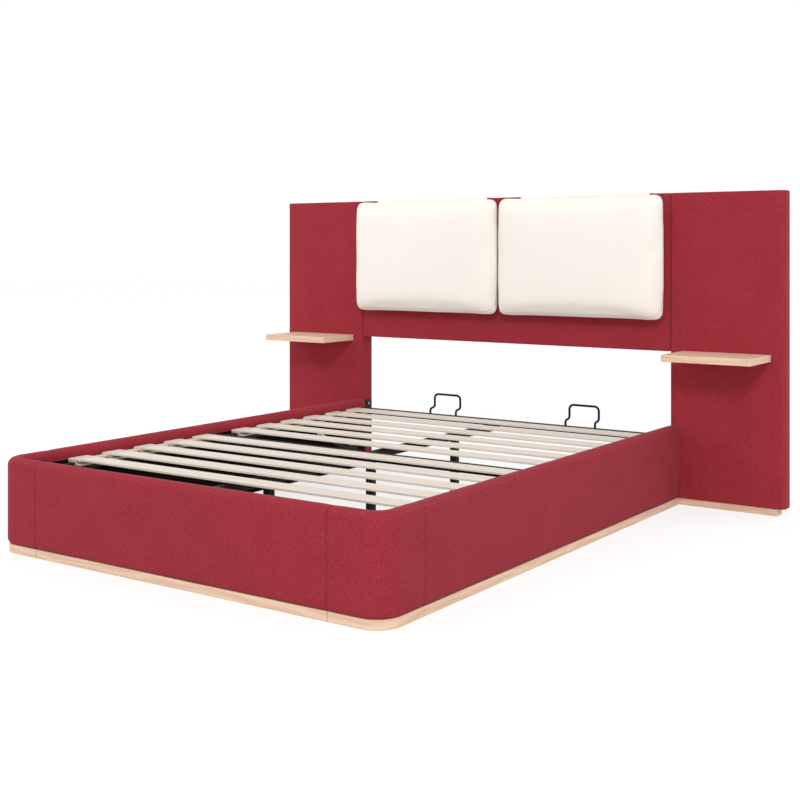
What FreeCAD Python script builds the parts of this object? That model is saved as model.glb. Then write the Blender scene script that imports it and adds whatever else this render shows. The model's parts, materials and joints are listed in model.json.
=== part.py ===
import FreeCAD, Part
import math
import os

# Upholstered platform bed: red rails on a wooden plinth, a wide headboard of two tall panels and a
# bridge panel, two hung cushions, two shelves, and a slatted steel platform that lifts at the foot.
# Millimetres. X to the right seen from the foot, Y towards the head, Z up, origin on the floor
# under the middle of the bed.

Vector = FreeCAD.Vector
ORIGIN = Vector(0, 0, 0)
RIGHT = Vector(1, 0, 0)
HEAD = Vector(0, 1, 0)
UP = Vector(0, 0, 1)
quarter_turn = 90.0

# Overall sizes
base_width = 1680.0
base_length = 2110.0
base_height = 330.0
headboard_height = 1298.0
panel_width = 480.0
panel_thickness = 80.0
panel_overlap = 42.0
bridge_bottom = 636.0
bridge_thickness = 60.0

# Upholstered rails and their wooden cores
rail_thickness = 60.0
corner_seam = 205.0
corner_radius = 90.0
cover_thickness = 6.0
cover_gap = 0.2
cover_wrap = 40.0
cover_under = 14.0
top_edge_radius = 26.0
bottom_edge_radius = 18.0
lining_thickness = 2.0
lining_floor_gap = 4.0
front_pocket_count = 5
side_pocket_count = 6
pocket_post = 32.0
pocket_margin = 42.0
solid_head_length = 270.0
dowel_radius = 6.0
dowel_length = 90.0
dowel_gap = 0.2
dowel_height_shares = (0.28, 0.76)

# Wooden plinth
plinth_height = 30.0
plinth_setback = 6.0
plinth_thickness = 46.0
panel_plinth_setback = 10.0
panel_plinth_end_setback = 34.0

# Headboard
panel_outer_radius = 20.0
panel_inner_radius = 10.0
panel_top_radius = 8.0
panel_stile = 46.0
panel_pocket_rows = 4
bridge_edge_radius = 10.0
bridge_stile = 46.0
bridge_pocket_columns = 6
bridge_pocket_rows = 3
shelf_width = 368.0
shelf_depth = 238.0
shelf_thickness = 28.0
shelf_top = 642.0
shelf_corner_radius = 6.0
shelf_rod_radius = 6.0
shelf_rod_in_shelf = 110.0
shelf_rod_in_panel = 58.0
shelf_rod_inset = 70.0
shelf_rod_gap = 0.2

# Steel between the headboard pieces
bracket_thickness = 3.0
bracket_height = 90.0
bracket_arm = 60.0
bracket_tab = 18.0
bracket_height_shares = (0.2, 0.8)
bracket_bolt_share = 0.6
tie_plate_thickness = 4.0
tie_plate_width = 58.0
tie_plate_low = 126.0
tie_plate_high = 324.0
tie_plate_radius = 22.0
tie_plate_bolt_inset = 20.0

# Bolts
bolt_radius = 3.0
bolt_head_radius = 6.5
bolt_head_height = 5.0
bolt_gap = 0.2
wood_grip = 38.0
rail_bolt_grip = 62.0
rail_bolt_height_shares = (0.33, 0.76)
cut_overrun = 5.0

# Lifting platform: tubes, slats and their end caps
platform_recess = 33.0
side_gap = 15.0
platform_foot_gap = 90.0
head_gap = 30.0
tube_size = 30.0
tube_wall = 2.0
head_tube_rise = 12.0
head_tube_height = 28.0
tube_slat_gap = 6.0
under_bar_width = 30.0
under_bar_height = 7.0
end_bar_width = 20.0
end_bar_inset = 2.0
end_cap_thickness = 3.0
end_cap_plug = 16.0
end_cap_gap = 0.2
front_slat_count = 5
rear_slat_count = 6
foot_slat_inset = 302.0
head_slat_inset = 132.0
halves_extra_gap = 74.5
slat_width = 80.0
slat_thickness = 7.5
slat_end_wall = 8.0
holder_floor = 7.5
holder_length = 66.0
holder_side_wall = 5.0
holder_height = 19.0
holder_lip = 5.0
holder_lip_drop = 12.0
holder_corner_radius = 5.0
holder_strip_height = 8.0
holder_gap = 0.3
joiner_length = 120.0
joiner_height = 16.0
joiner_thickness = 3.0
joiner_bolt_share = 0.3
joiner_bolt_grip = 12.0

# Centre legs
leg_size = 30.0
leg_shares = (0.175, 0.485, 0.798)
foot_height = 8.0
foot_lip = 3.0
foot_plug = 22.0
foot_gap = 0.2

# Mattress hoops at the head end
hoop_wire_radius = 5.0
hoop_width = 141.0
left_hoop_offset = 300.0
right_hoop_offset = 405.0
hoop_foot_rise = 22.0
hoop_step_back = 38.0
hoop_step_rise = 8.0
hoop_height = 88.0
hoop_bend_radius = 11.0
hoop_top_radius = 20.0
hoop_insert = 20.0
hoop_gap = 0.2

# Lift hinge and gas struts
hinge_inset = 85.0
hinge_drop = 57.0
strut_base_reach = 26.0
strut_base_drop = 157.0
strut_top_reach = 327.0
strut_top_drop = 6.0
plate_thickness = 3.0
plate_margin = 36.0
lift_bolt_shares = ((0.35, -0.45), (0.62, 0.45), (1.15, -0.5))
arm_thickness = 4.0
arm_strip_height = 16.0
arm_lobe_radius = 24.0
hinge_pin_radius = 6.0
hinge_collar_radius = 9.0
hinge_head_radius = 10.0
hinge_head_length = 7.0
stud_radius = 4.0
stud_collar_radius = 7.0
stud_head_radius = 6.5
stud_head_length = 6.0
running_gap = 0.05
side_play = 0.3
eye_radius = 12.0
eye_thickness = 10.0
cylinder_radius = 11.0
cylinder_bore = 9.0
cylinder_start = 16.0
cylinder_floor = 12.0
cylinder_mouth = 262.0
strut_rod_radius = 5.0
strut_rod_length = 250.0

# Hung cushions
cushion_side_gap = 8.0
cushion_gap = 10.0
cushion_top_drop = 8.0
cushion_height = 522.0
cushion_thickness = 120.0
cushion_corner_radius = 62.0
cushion_draw_in = 6.0
cushion_depth_shares = (0.0, 0.04, 0.13, 0.28, 0.5, 0.66, 0.78, 0.87, 0.93, 0.97, 1.0)
cushion_inset_shares = (0.2, 0.1, 0.03, 0.0, 0.005, 0.06, 0.17, 0.34, 0.58, 0.95, 1.6)
flap_inset = 82.5
flap_thickness = 4.0
flap_gap = 0.3
flap_front_drop = 70.0
flap_back_drop = 130.0

# Places that follow from the sizes
half_width = base_width / 2
foot_y = -(base_length + panel_thickness) / 2
front_y = foot_y + base_length
back_y = front_y + panel_thickness
seam_x = half_width - corner_seam
seam_y = foot_y + corner_seam
panel_inner = half_width - panel_overlap
panel_outer = panel_inner + panel_width
bridge_back = front_y + bridge_thickness
core_inset = cover_thickness + cover_gap
rail_inner = half_width - rail_thickness
lining_inner = rail_inner + cover_thickness - lining_thickness

slat_top = base_height - platform_recess
slat_bottom = slat_top - slat_thickness
tube_top = slat_bottom - holder_floor
tube_bottom = tube_top - tube_size
tube_outer = rail_inner - side_gap
tube_inner = tube_outer - tube_size
platform_foot = foot_y + rail_thickness + platform_foot_gap
platform_head = front_y - head_gap

slat_count = front_slat_count + rear_slat_count
first_slat_y = foot_y + foot_slat_inset
slat_span = base_length - foot_slat_inset - head_slat_inset - halves_extra_gap
slat_pitch = slat_span / (slat_count - 1)
slat_half_length = tube_outer + holder_lip - slat_end_wall
holder_width = slat_width + 2 * holder_side_wall
below_holders = tube_top - holder_lip_drop - holder_gap

cushion_width = panel_inner - cushion_side_gap - cushion_gap / 2
cushion_bottom = headboard_height - cushion_top_drop - cushion_height
flap_width = cushion_width - 2 * flap_inset

hinge_y = front_y - hinge_inset
hinge_z = tube_top - hinge_drop
strut_x = (tube_inner + tube_outer) / 2
strut_base = Vector(strut_x, hinge_y - strut_base_reach, hinge_z - strut_base_drop)
strut_top = Vector(strut_x, hinge_y - strut_top_reach, hinge_z - strut_top_drop)
strut_axis = (strut_top - strut_base).normalize()


def box(low, high):
    """A block between two corners."""
    size = Vector(*high) - Vector(*low)
    return Part.makeBox(size.x, size.y, size.z, Vector(*low))


def cylinder(start, direction, radius, length):
    """A round bar from start along a unit direction."""
    return Part.makeCylinder(radius, length, start, direction)


def mirrored(shape):
    """The same piece on the other side of the bed."""
    return shape.mirror(ORIGIN, RIGHT)


def joined(shapes):
    """One solid from touching shapes."""
    return shapes[0].multiFuse(shapes[1:]).removeSplitter()


def drilled(shape, cutters):
    """A piece with its holes and pockets cut."""
    for cutter in cutters:
        shape = shape.cut(cutter)
    return shape


def write(name, shapes):
    """Write one piece, or a group of like solids, to its own file."""
    shape = shapes[0] if len(shapes) == 1 else Part.makeCompound(shapes)
    shape.exportStep("parts/" + name + ".step")


def write_pair(name, right_shapes):
    """Write a right-hand piece and its mirror image."""
    write("right_" + name, right_shapes)
    write("left_" + name, [mirrored(shape) for shape in right_shapes])


def write_both_sides(name, right_shapes):
    """Write like solids of both sides as one group."""
    write(name, right_shapes + [mirrored(shape) for shape in right_shapes])


class Outline:
    """A closed flat outline of lines and arcs, drawn through a function that places its points."""

    def __init__(self, place, across, height):
        self.place = place
        self.here = place(across, height)
        self.first = self.here
        self.edges = []

    def line(self, across, height):
        there = self.place(across, height)
        self.edges.append(Part.LineSegment(self.here, there).toShape())
        self.here = there
        return self

    def arc(self, centre, across, height):
        there = self.place(across, height)
        middle = self.place(*centre)
        towards = (self.here + there) * 0.5 - middle
        radius = (self.here - middle).Length
        self.edges.append(Part.Arc(self.here, middle + towards.normalize() * radius, there).toShape())
        self.here = there
        return self

    def face(self):
        if (self.here - self.first).Length > Part.Precision.confusion():
            self.edges.append(Part.LineSegment(self.here, self.first).toShape())
        return Part.Face(Part.Wire(self.edges))


def in_rail(inward, height):
    """A point of a rail's section, at the seam between the front rail and the right corner."""
    return Vector(seam_x, foot_y + inward, height)


def rounded_rectangle(place, low, high, radii):
    """An outline with four rounded corners: low-low, high-low, high-high and low-high."""
    (a0, b0), (a1, b1) = low, high
    r0, r1, r2, r3 = radii
    outline = Outline(place, a0 + r0, b0)
    outline.line(a1 - r1, b0).arc((a1 - r1, b0 + r1), a1, b0 + r1)
    outline.line(a1, b1 - r2).arc((a1 - r2, b1 - r2), a1 - r2, b1)
    outline.line(a0 + r3, b1).arc((a0 + r3, b1 - r3), a0, b1 - r3)
    outline.line(a0, b0 + r0).arc((a0 + r0, b0 + r0), a0 + r0, b0)
    return outline.face()


# Rail sections: across the rail from its outer face, and up

def cover_section():
    top, bottom = base_height, plinth_height
    high, low = top - top_edge_radius, bottom + bottom_edge_radius
    inner, skin = rail_thickness, cover_thickness
    under_end = bottom_edge_radius + cover_under
    outer_centre = (top_edge_radius, high)
    inner_centre = (inner - top_edge_radius, high)
    low_centre = (bottom_edge_radius, low)
    outline = Outline(in_rail, 0, low)
    outline.line(0, high).arc(outer_centre, top_edge_radius, top)
    outline.line(inner - top_edge_radius, top).arc(inner_centre, inner, high)
    outline.line(inner, top - cover_wrap).line(inner - skin, top - cover_wrap)
    outline.line(inner - skin, high).arc(inner_centre, inner - top_edge_radius, top - skin)
    outline.line(top_edge_radius, top - skin).arc(outer_centre, skin, high)
    outline.line(skin, low).arc(low_centre, bottom_edge_radius, bottom + skin)
    outline.line(under_end, bottom + skin).line(under_end, bottom)
    outline.line(bottom_edge_radius, bottom).arc(low_centre, 0, low)
    return outline.face()


def core_section():
    top, bottom = base_height - core_inset, plinth_height
    high, low = base_height - top_edge_radius, bottom + bottom_edge_radius
    outer, inner = core_inset, rail_thickness - core_inset
    under_end = bottom_edge_radius + cover_under + cover_gap
    outline = Outline(in_rail, outer, low)
    outline.line(outer, high).arc((top_edge_radius, high), top_edge_radius, top)
    outline.line(rail_thickness - top_edge_radius, top)
    outline.arc((rail_thickness - top_edge_radius, high), inner, high)
    outline.line(inner, bottom).line(under_end, bottom)
    outline.line(under_end, bottom + core_inset).line(bottom_edge_radius, bottom + core_inset)
    outline.arc((bottom_edge_radius, low), outer, low)
    return outline.face()


def flat_section(outer, inner, bottom, top):
    outline = Outline(in_rail, outer, bottom)
    return outline.line(outer, top).line(inner, top).line(inner, bottom).face()


def along_front(section):
    return section.extrude(RIGHT * (-2 * seam_x))


def round_corner(section):
    """The length between a corner's two seams: a straight, the rounded corner and a straight."""
    straight = corner_seam - corner_radius
    centre = Vector(seam_x + straight, seam_y - straight, 0)
    bend = section.copy()
    bend.translate(RIGHT * straight)
    end = bend.copy()
    end.rotate(centre, UP, quarter_turn)
    lengths = [section.extrude(RIGHT * straight), bend.revolve(centre, UP, quarter_turn)]
    return joined(lengths + [end.extrude(HEAD * straight)])


def along_side(section):
    turned = section.copy()
    turned.rotate(Vector(seam_x, seam_y, 0), UP, quarter_turn)
    return turned.extrude(HEAD * (front_y - seam_y))


# Fasteners

def bolt(seat, direction, length):
    """A bolt whose head sits at seat and whose shank runs along direction."""
    head = cylinder(seat - direction * bolt_head_height, direction, bolt_head_radius, bolt_head_height)
    return joined([head, cylinder(seat, direction, bolt_radius, length)])


def bolt_hole(seat, direction, length):
    start = seat - direction * cut_overrun
    return cylinder(start, direction, bolt_radius + bolt_gap, length + cut_overrun + bolt_gap)


def head_hole(seat, direction):
    start = seat - direction * (bolt_head_height + cut_overrun)
    return cylinder(start, direction, bolt_head_radius + bolt_gap, bolt_head_height + cut_overrun)


rail_bolt_length = panel_thickness - core_inset + rail_bolt_grip
rail_bolt_seats = [Vector((panel_inner + half_width) / 2, back_y - core_inset, share * base_height)
                   for share in rail_bolt_height_shares]
rail_bolt_holes = [bolt_hole(seat, -HEAD, rail_bolt_length) for seat in rail_bolt_seats]
rail_bolt_head_holes = [head_hole(seat, -HEAD) for seat in rail_bolt_seats]

bracket_places = [bridge_bottom + share * (headboard_height - bridge_bottom)
                  for share in bracket_height_shares]
bracket_bolt_length = bracket_thickness + cover_thickness + wood_grip
bridge_bolt_seats = [Vector(panel_inner - bracket_arm * bracket_bolt_share, bridge_back + bracket_thickness, place)
                     for place in bracket_places]
bridge_bolt_holes = [bolt_hole(seat, -HEAD, bracket_bolt_length) for seat in bridge_bolt_seats]
tab_bolt_y = bridge_back + (bracket_thickness + bracket_tab) / 2
tab_bolt_seats = [Vector(panel_inner - bracket_thickness, tab_bolt_y, place) for place in bracket_places]
tab_bolt_holes = [bolt_hole(seat, RIGHT, bracket_bolt_length) for seat in tab_bolt_seats]

tie_plate_y = (front_y + back_y) / 2
tie_plate_inner = panel_inner - tie_plate_thickness
tie_plate_seats = [Vector(tie_plate_inner, tie_plate_y, tie_plate_high - tie_plate_bolt_inset),
                   Vector(tie_plate_inner, tie_plate_y, tie_plate_low + tie_plate_bolt_inset)]
tie_plate_bolt_length = tie_plate_thickness + cover_thickness + wood_grip
tie_plate_holes = [bolt_hole(seat, RIGHT, tie_plate_bolt_length) for seat in tie_plate_seats]

lift_plate_inner = lining_inner - plate_thickness
lift_bolt_length = plate_thickness + lining_thickness + wood_grip
lift_bolt_seats = [Vector(lift_plate_inner,
                          strut_base.y + along * strut_base_reach + aside * plate_margin,
                          strut_base.z + along * strut_base_drop)
                   for along, aside in lift_bolt_shares]
lift_bolt_holes = [bolt_hole(seat, RIGHT, lift_bolt_length) for seat in lift_bolt_seats]


# Base: covers, cores, linings, plinth and dowels

def rail_pockets(count, start, end, across_low, across_high, along_x):
    """Hollows between the posts of a rail's wooden core."""
    length = (end - start - (count + 1) * pocket_post) / count
    bottom, top = plinth_height + pocket_margin, base_height - pocket_margin
    pockets = []
    for index in range(count):
        low = start + pocket_post + index * (length + pocket_post)
        if along_x:
            pockets.append(box((low, across_low, bottom), (low + length, across_high, top)))
        else:
            pockets.append(box((across_low, low, bottom), (across_high, low + length, top)))
    return pockets


def seam_dowels(radius, length):
    """Dowels across the two seams of the right corner, in the middle of the cores."""
    middle = rail_thickness / 2
    dowels = []
    for share in dowel_height_shares:
        front = Vector(seam_x - length / 2, foot_y + middle, share * base_height)
        side = Vector(half_width - middle, seam_y - length / 2, share * base_height)
        dowels.append(cylinder(front, RIGHT, radius, length))
        dowels.append(cylinder(side, HEAD, radius, length))
    return dowels


def make_base():
    cover, core = cover_section(), core_section()
    lining = flat_section(rail_thickness - cover_thickness, rail_thickness - cover_thickness + lining_thickness,
                          lining_floor_gap, base_height - cover_wrap - cover_gap)
    plinth = flat_section(plinth_setback, plinth_setback + plinth_thickness, 0, plinth_height)
    sockets = seam_dowels(dowel_radius + dowel_gap, dowel_length + 2 * dowel_gap)

    write("front_rail_cover", [along_front(cover)])
    write_pair("rail_cover", [along_side(cover)])
    write_pair("corner_cover", [round_corner(cover)])

    front_pockets = rail_pockets(front_pocket_count, -seam_x + pocket_post, seam_x - pocket_post,
                                 foot_y, foot_y + rail_thickness, True)
    side_pockets = rail_pockets(side_pocket_count, seam_y + pocket_post, front_y - solid_head_length,
                                rail_inner, half_width, False)
    front_sockets = sockets + [mirrored(socket) for socket in sockets]
    write("front_rail_core", [drilled(along_front(core), front_pockets + front_sockets)])
    side_cuts = side_pockets + sockets + rail_bolt_holes + lift_bolt_holes
    write_pair("rail_core", [drilled(along_side(core), side_cuts)])
    write_pair("corner_core", [drilled(round_corner(core), sockets)])

    side_linings = [drilled(along_side(lining), lift_bolt_holes), round_corner(lining)]
    write("rail_linings", [along_front(lining)] + side_linings + [mirrored(piece) for piece in side_linings])
    write_both_sides("corner_dowels", seam_dowels(dowel_radius, dowel_length))

    write("front_plinth", [along_front(plinth)])
    write_pair("plinth", [along_side(plinth)])
    write_pair("corner_plinth", [round_corner(plinth)])


# Headboard

def in_plan(x, y):
    """A point of a tall panel's plan, at the top of its plinth."""
    return Vector(x, y, plinth_height)


def in_bridge(y, z):
    """A point of the bridge panel's section, at its left end."""
    return Vector(-panel_inner, y, z)


def panel_block(inset, top):
    """A tall panel's block, drawn in by inset on every side but its foot."""
    inner, outer = panel_inner_radius - inset, panel_outer_radius - inset
    plan = rounded_rectangle(in_plan, (panel_inner + inset, front_y + inset),
                             (panel_outer - inset, back_y - inset), (inner, outer, outer, inner))
    return plan.extrude(UP * (top - plinth_height))


def bridge_block(inset):
    """The bridge panel's block, drawn in by inset on its four long sides."""
    radius = bridge_edge_radius - inset
    section = rounded_rectangle(in_bridge, (front_y + inset, bridge_bottom + inset),
                                (bridge_back - inset, headboard_height - inset), (radius,) * 4)
    return section.extrude(RIGHT * (2 * panel_inner))


def grid_pockets(low, high, columns, rows, stile):
    """Hollows between the stiles of a headboard core, in X and Z."""
    (x0, z0), (x1, z1) = low, high
    width = (x1 - x0 - (columns + 1) * stile) / columns
    height = (z1 - z0 - (rows + 1) * stile) / rows
    pockets = []
    for column in range(columns):
        for row in range(rows):
            x = x0 + stile + column * (width + stile)
            z = z0 + stile + row * (height + stile)
            pockets.append(box((x, front_y, z), (x + width, back_y, z + height)))
    return pockets


def shelf_rods(radius, grow):
    """Two rods that carry the right shelf, from the panel's core into the shelf."""
    middle = (panel_inner + panel_outer) / 2
    offset = shelf_width / 2 - shelf_rod_inset
    length = shelf_rod_in_shelf + shelf_rod_in_panel + 2 * grow
    rods = []
    for side in (-offset, offset):
        start = Vector(middle + side, front_y - shelf_rod_in_shelf - grow, shelf_top - shelf_thickness / 2)
        rods.append(cylinder(start, HEAD, radius, length))
    return rods


def make_headboard():
    cavity = panel_block(cover_thickness, headboard_height - cover_thickness + cut_overrun)
    cavity = cavity.translated(UP * -cut_overrun)
    outside = panel_block(0, headboard_height)
    top_edges = [edge for edge in outside.Edges
                 if min(vertex.Z for vertex in edge.Vertexes) > headboard_height - cover_gap]
    outside = outside.makeFillet(panel_top_radius, top_edges)
    rod_holes = shelf_rods(shelf_rod_radius + shelf_rod_gap, shelf_rod_gap)
    holes = rail_bolt_holes + tie_plate_holes + tab_bolt_holes + rod_holes
    write_pair("panel_cover", [drilled(outside.cut(cavity), holes + rail_bolt_head_holes)])

    # The core is solid behind the shelf, and framed in stiles above and below it
    core = panel_block(core_inset, headboard_height - core_inset)
    shelf_band = shelf_top - shelf_thickness / 2
    low_pockets = grid_pockets((panel_inner + core_inset, base_height),
                               (panel_outer - core_inset, shelf_band), 2, 1, panel_stile)
    high_pockets = grid_pockets((panel_inner + core_inset, shelf_band),
                                (panel_outer - core_inset, headboard_height - core_inset),
                                2, panel_pocket_rows - 1, panel_stile)
    write_pair("panel_core", [drilled(core, low_pockets + high_pockets + holes)])
    write_pair("panel_plinth", [box(
        (panel_inner + panel_plinth_setback, front_y + panel_plinth_setback, 0),
        (panel_outer - panel_plinth_end_setback, back_y - panel_plinth_setback, plinth_height))])

    bolts = bridge_bolt_holes + [mirrored(hole) for hole in bridge_bolt_holes]
    write("bridge_cover", [drilled(bridge_block(0).cut(bridge_block(cover_thickness)), bolts)])
    pockets = grid_pockets((-panel_inner, bridge_bottom + core_inset),
                           (panel_inner, headboard_height - core_inset),
                           bridge_pocket_columns, bridge_pocket_rows, bridge_stile)
    write("bridge_core", [drilled(bridge_block(core_inset), pockets + bolts)])

    middle = (panel_inner + panel_outer) / 2
    shelf = box((middle - shelf_width / 2, front_y - shelf_depth, shelf_top - shelf_thickness),
                (middle + shelf_width / 2, front_y, shelf_top))
    front_corners = [edge for edge in shelf.Edges
                     if max(vertex.Y for vertex in edge.Vertexes) < front_y - shelf_depth / 2
                     and edge.BoundBox.ZLength > shelf_thickness / 2]
    shelf = shelf.makeFillet(shelf_corner_radius, front_corners)
    write_pair("shelf", [drilled(shelf, rod_holes)])
    write_both_sides("shelf_rods", shelf_rods(shelf_rod_radius, 0))


def in_tie_plate(y, z):
    return Vector(tie_plate_inner, y, z)


def make_steel():
    """Brackets, plates and every bolt of the standing part of the bed."""
    brackets = []
    for place in bracket_places:
        low, high = place - bracket_height / 2, place + bracket_height / 2
        arm = box((panel_inner - bracket_arm, bridge_back, low),
                  (panel_inner, bridge_back + bracket_thickness, high))
        tab = box((panel_inner - bracket_thickness, bridge_back, low),
                  (panel_inner, bridge_back + bracket_tab, high))
        brackets.append(drilled(joined([arm, tab]), bridge_bolt_holes + tab_bolt_holes))
    write_both_sides("bridge_brackets", brackets)

    aside = tie_plate_width / 2
    plate = rounded_rectangle(in_tie_plate, (tie_plate_y - aside, tie_plate_low),
                              (tie_plate_y + aside, tie_plate_high), [tie_plate_radius] * 4)
    plate = plate.extrude(RIGHT * tie_plate_thickness)
    write_both_sides("tie_plates", [drilled(plate, tie_plate_holes)])

    bolts = [bolt(seat, -HEAD, rail_bolt_length) for seat in rail_bolt_seats]
    bolts += [bolt(seat, -HEAD, bracket_bolt_length) for seat in bridge_bolt_seats]
    bolts += [bolt(seat, RIGHT, bracket_bolt_length) for seat in tab_bolt_seats]
    bolts += [bolt(seat, RIGHT, tie_plate_bolt_length) for seat in tie_plate_seats]
    bolts += [bolt(seat, RIGHT, lift_bolt_length) for seat in lift_bolt_seats]
    write_both_sides("frame_bolts", bolts)


# Lift hinge and struts

def pivot_pin(centre, radius, collar_radius, head_radius, head_length, root_x, wall_x, eye_outer, eye_inner):
    """A pin fixed in a wall, with a collar up to the piece it carries and a head behind it."""
    collar_end = eye_outer + side_play
    head_start = eye_inner - side_play
    shank = cylinder(Vector(root_x, centre.y, centre.z), -RIGHT, radius, root_x - head_start)
    collar = cylinder(Vector(wall_x, centre.y, centre.z), -RIGHT, collar_radius, wall_x - collar_end)
    head = cylinder(Vector(head_start, centre.y, centre.z), -RIGHT, head_radius, head_length)
    return joined([shank, collar, head])


def in_lift_plate(y, z):
    return Vector(lift_plate_inner, y, z)


def in_arm(y, z):
    return Vector(tube_outer, y, z)


def make_lift():
    hinge = Vector(tube_outer, hinge_y, hinge_z)
    arm_outer = tube_outer + arm_thickness
    eye_outer, eye_inner = strut_x + eye_thickness / 2, strut_x - eye_thickness / 2

    # Plate on the rail: a slanted sheet from the strut's foot to the hinge
    outline = Outline(in_lift_plate, strut_base.y - plate_margin, strut_base.z - plate_margin)
    outline.line(strut_base.y + plate_margin, strut_base.z - plate_margin)
    outline.line(hinge_y + plate_margin, hinge_z - plate_margin)
    outline.line(hinge_y + plate_margin, hinge_z + plate_margin)
    outline.line(hinge_y - plate_margin, hinge_z + plate_margin)
    outline.line(strut_base.y - plate_margin, strut_base.z + plate_margin)
    plate = outline.face().extrude(RIGHT * plate_thickness)
    pin_hole = cylinder(hinge - RIGHT * plate_margin, RIGHT, hinge_pin_radius + running_gap, 2 * plate_margin)
    stud_hole = cylinder(strut_base, RIGHT, stud_radius + running_gap, 2 * plate_margin)
    write_pair("lift_plate", [drilled(plate, [pin_hole, stud_hole] + lift_bolt_holes)])

    pin = pivot_pin(hinge, hinge_pin_radius, hinge_collar_radius, hinge_head_radius, hinge_head_length,
                    lining_inner, lift_plate_inner, arm_outer, tube_outer)
    stud = pivot_pin(strut_base, stud_radius, stud_collar_radius, stud_head_radius, stud_head_length,
                     lining_inner, lift_plate_inner, eye_outer, eye_inner)
    write_both_sides("lift_pins", [pin, stud])

    # Arm on the platform: a strip along the side tube with a lobe at the hinge and one at the strut
    strip = box((tube_outer, strut_top.y - arm_lobe_radius, below_holders - arm_strip_height),
                (arm_outer, hinge_y + arm_lobe_radius, below_holders))
    lobes = []
    for centre in (hinge, strut_top):
        middle = Vector(tube_outer, centre.y, centre.z)
        lobes.append(cylinder(middle, RIGHT, arm_lobe_radius, arm_thickness))
        lobes.append(box((tube_outer, centre.y - arm_lobe_radius, centre.z),
                         (arm_outer, centre.y + arm_lobe_radius, below_holders)))
    top_stud = pivot_pin(strut_top, stud_radius, stud_collar_radius, stud_head_radius, stud_head_length,
                         arm_outer, tube_outer, eye_outer, eye_inner)
    arm = joined([strip] + lobes + [top_stud])
    write_pair("lift_arm", [drilled(arm, [pin_hole])])

    # Gas strut: a cylinder on the plate's stud and a rod on the arm's stud
    def eye(centre):
        return cylinder(centre - RIGHT * (eye_thickness / 2), RIGHT, eye_radius, eye_thickness)

    def eye_hole(centre):
        return cylinder(centre - RIGHT * eye_thickness, RIGHT, stud_radius + running_gap, 2 * eye_thickness)

    start = strut_base + strut_axis * cylinder_start
    shell = cylinder(start, strut_axis, cylinder_radius, cylinder_mouth - cylinder_start)
    neck = cylinder(strut_base, strut_axis, eye_thickness / 2, cylinder_start + cylinder_floor)
    bore = cylinder(start + strut_axis * cylinder_floor, strut_axis, cylinder_bore, cylinder_mouth)
    body = joined([shell.cut(bore), neck, eye(strut_base)])
    write_pair("strut_cylinder", [body.cut(eye_hole(strut_base))])
    rod = joined([cylinder(strut_top, -strut_axis, strut_rod_radius, strut_rod_length), eye(strut_top)])
    write_pair("strut_rod", [rod.cut(eye_hole(strut_top))])


# Platform

def slat_place(index):
    """The middle of a slat along the bed, with a wider gap between the two halves."""
    extra = halves_extra_gap if index >= front_slat_count else 0
    return first_slat_y + index * slat_pitch + extra


def slat(middle_y, grow):
    """A slat, made larger by grow on each side to cut its seat."""
    half, aside = slat_half_length + grow, slat_width / 2 + grow
    return box((-half, middle_y - aside, slat_bottom - grow), (half, middle_y + aside, slat_top + grow))


def holder():
    """The block of a slat's right end cap, hooked over the side tube, for a slat at zero."""
    outer = tube_outer + holder_lip
    body = box((outer - holder_length, -holder_width / 2, tube_top),
               (outer, holder_width / 2, tube_top + holder_height))
    upright = [edge for edge in body.Edges if edge.BoundBox.ZLength > holder_height / 2]
    body = body.makeFillet(holder_corner_radius, upright)
    lip = box((tube_outer, -holder_width / 2 + holder_corner_radius, tube_top - holder_lip_drop),
              (outer, holder_width / 2 - holder_corner_radius, tube_top))
    return joined([body, lip])


def holder_strip(numbers):
    """The right end caps of one half's slats, moulded in one strip along the side tube."""
    block = holder()
    blocks = [block.translated(HEAD * slat_place(number)) for number in numbers]
    strip = box((tube_inner, slat_place(numbers[0]), tube_top),
                (tube_outer, slat_place(numbers[-1]), tube_top + holder_strip_height))
    return drilled(joined([strip] + blocks), [slat(slat_place(number), holder_gap) for number in numbers])


def tube_x(y_middle, top, bottom):
    """A cross tube between the side tubes."""
    low_y, high_y = y_middle - tube_size / 2, y_middle + tube_size / 2
    outer = box((-tube_inner, low_y, bottom), (tube_inner, high_y, top))
    bore = box((-tube_outer, low_y + tube_wall, bottom + tube_wall),
               (tube_outer, high_y - tube_wall, top - tube_wall))
    return outer.cut(bore)


def tube_y(x_middle, low_y, high_y):
    """A lengthwise tube."""
    low_x, high_x = x_middle - tube_size / 2, x_middle + tube_size / 2
    outer = box((low_x, low_y, tube_bottom), (high_x, high_y, tube_top))
    bore = box((low_x + tube_wall, low_y - cut_overrun, tube_bottom + tube_wall),
               (high_x - tube_wall, high_y + cut_overrun, tube_top - tube_wall))
    return outer.cut(bore)


def bent_wire(points, radii, wire_radius):
    """A round wire along straight runs joined by tangent arcs."""
    edges = []
    here = points[0]
    for index, radius in enumerate(radii, start=1):
        corner = points[index]
        back = (points[index - 1] - corner).normalize()
        ahead = (points[index + 1] - corner).normalize()
        half_turn = (math.pi - back.getAngle(ahead)) / 2
        reach = radius * math.tan(half_turn)
        inward = (back + ahead).normalize()
        start, end = corner + back * reach, corner + ahead * reach
        middle = corner + inward * (radius / math.cos(half_turn) - radius)
        edges.append(Part.LineSegment(here, start).toShape())
        edges.append(Part.Arc(start, middle, end).toShape())
        here = end
    edges.append(Part.LineSegment(here, points[-1]).toShape())
    path = Part.Wire(edges)
    along = (points[1] - points[0]).normalize()
    section = Part.Wire(Part.makeCircle(wire_radius, points[0], along))
    return path.makePipeShell([section], True, False)


head_tube_y = platform_head - tube_size / 2
head_tube_top = tube_top + head_tube_rise


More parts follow.
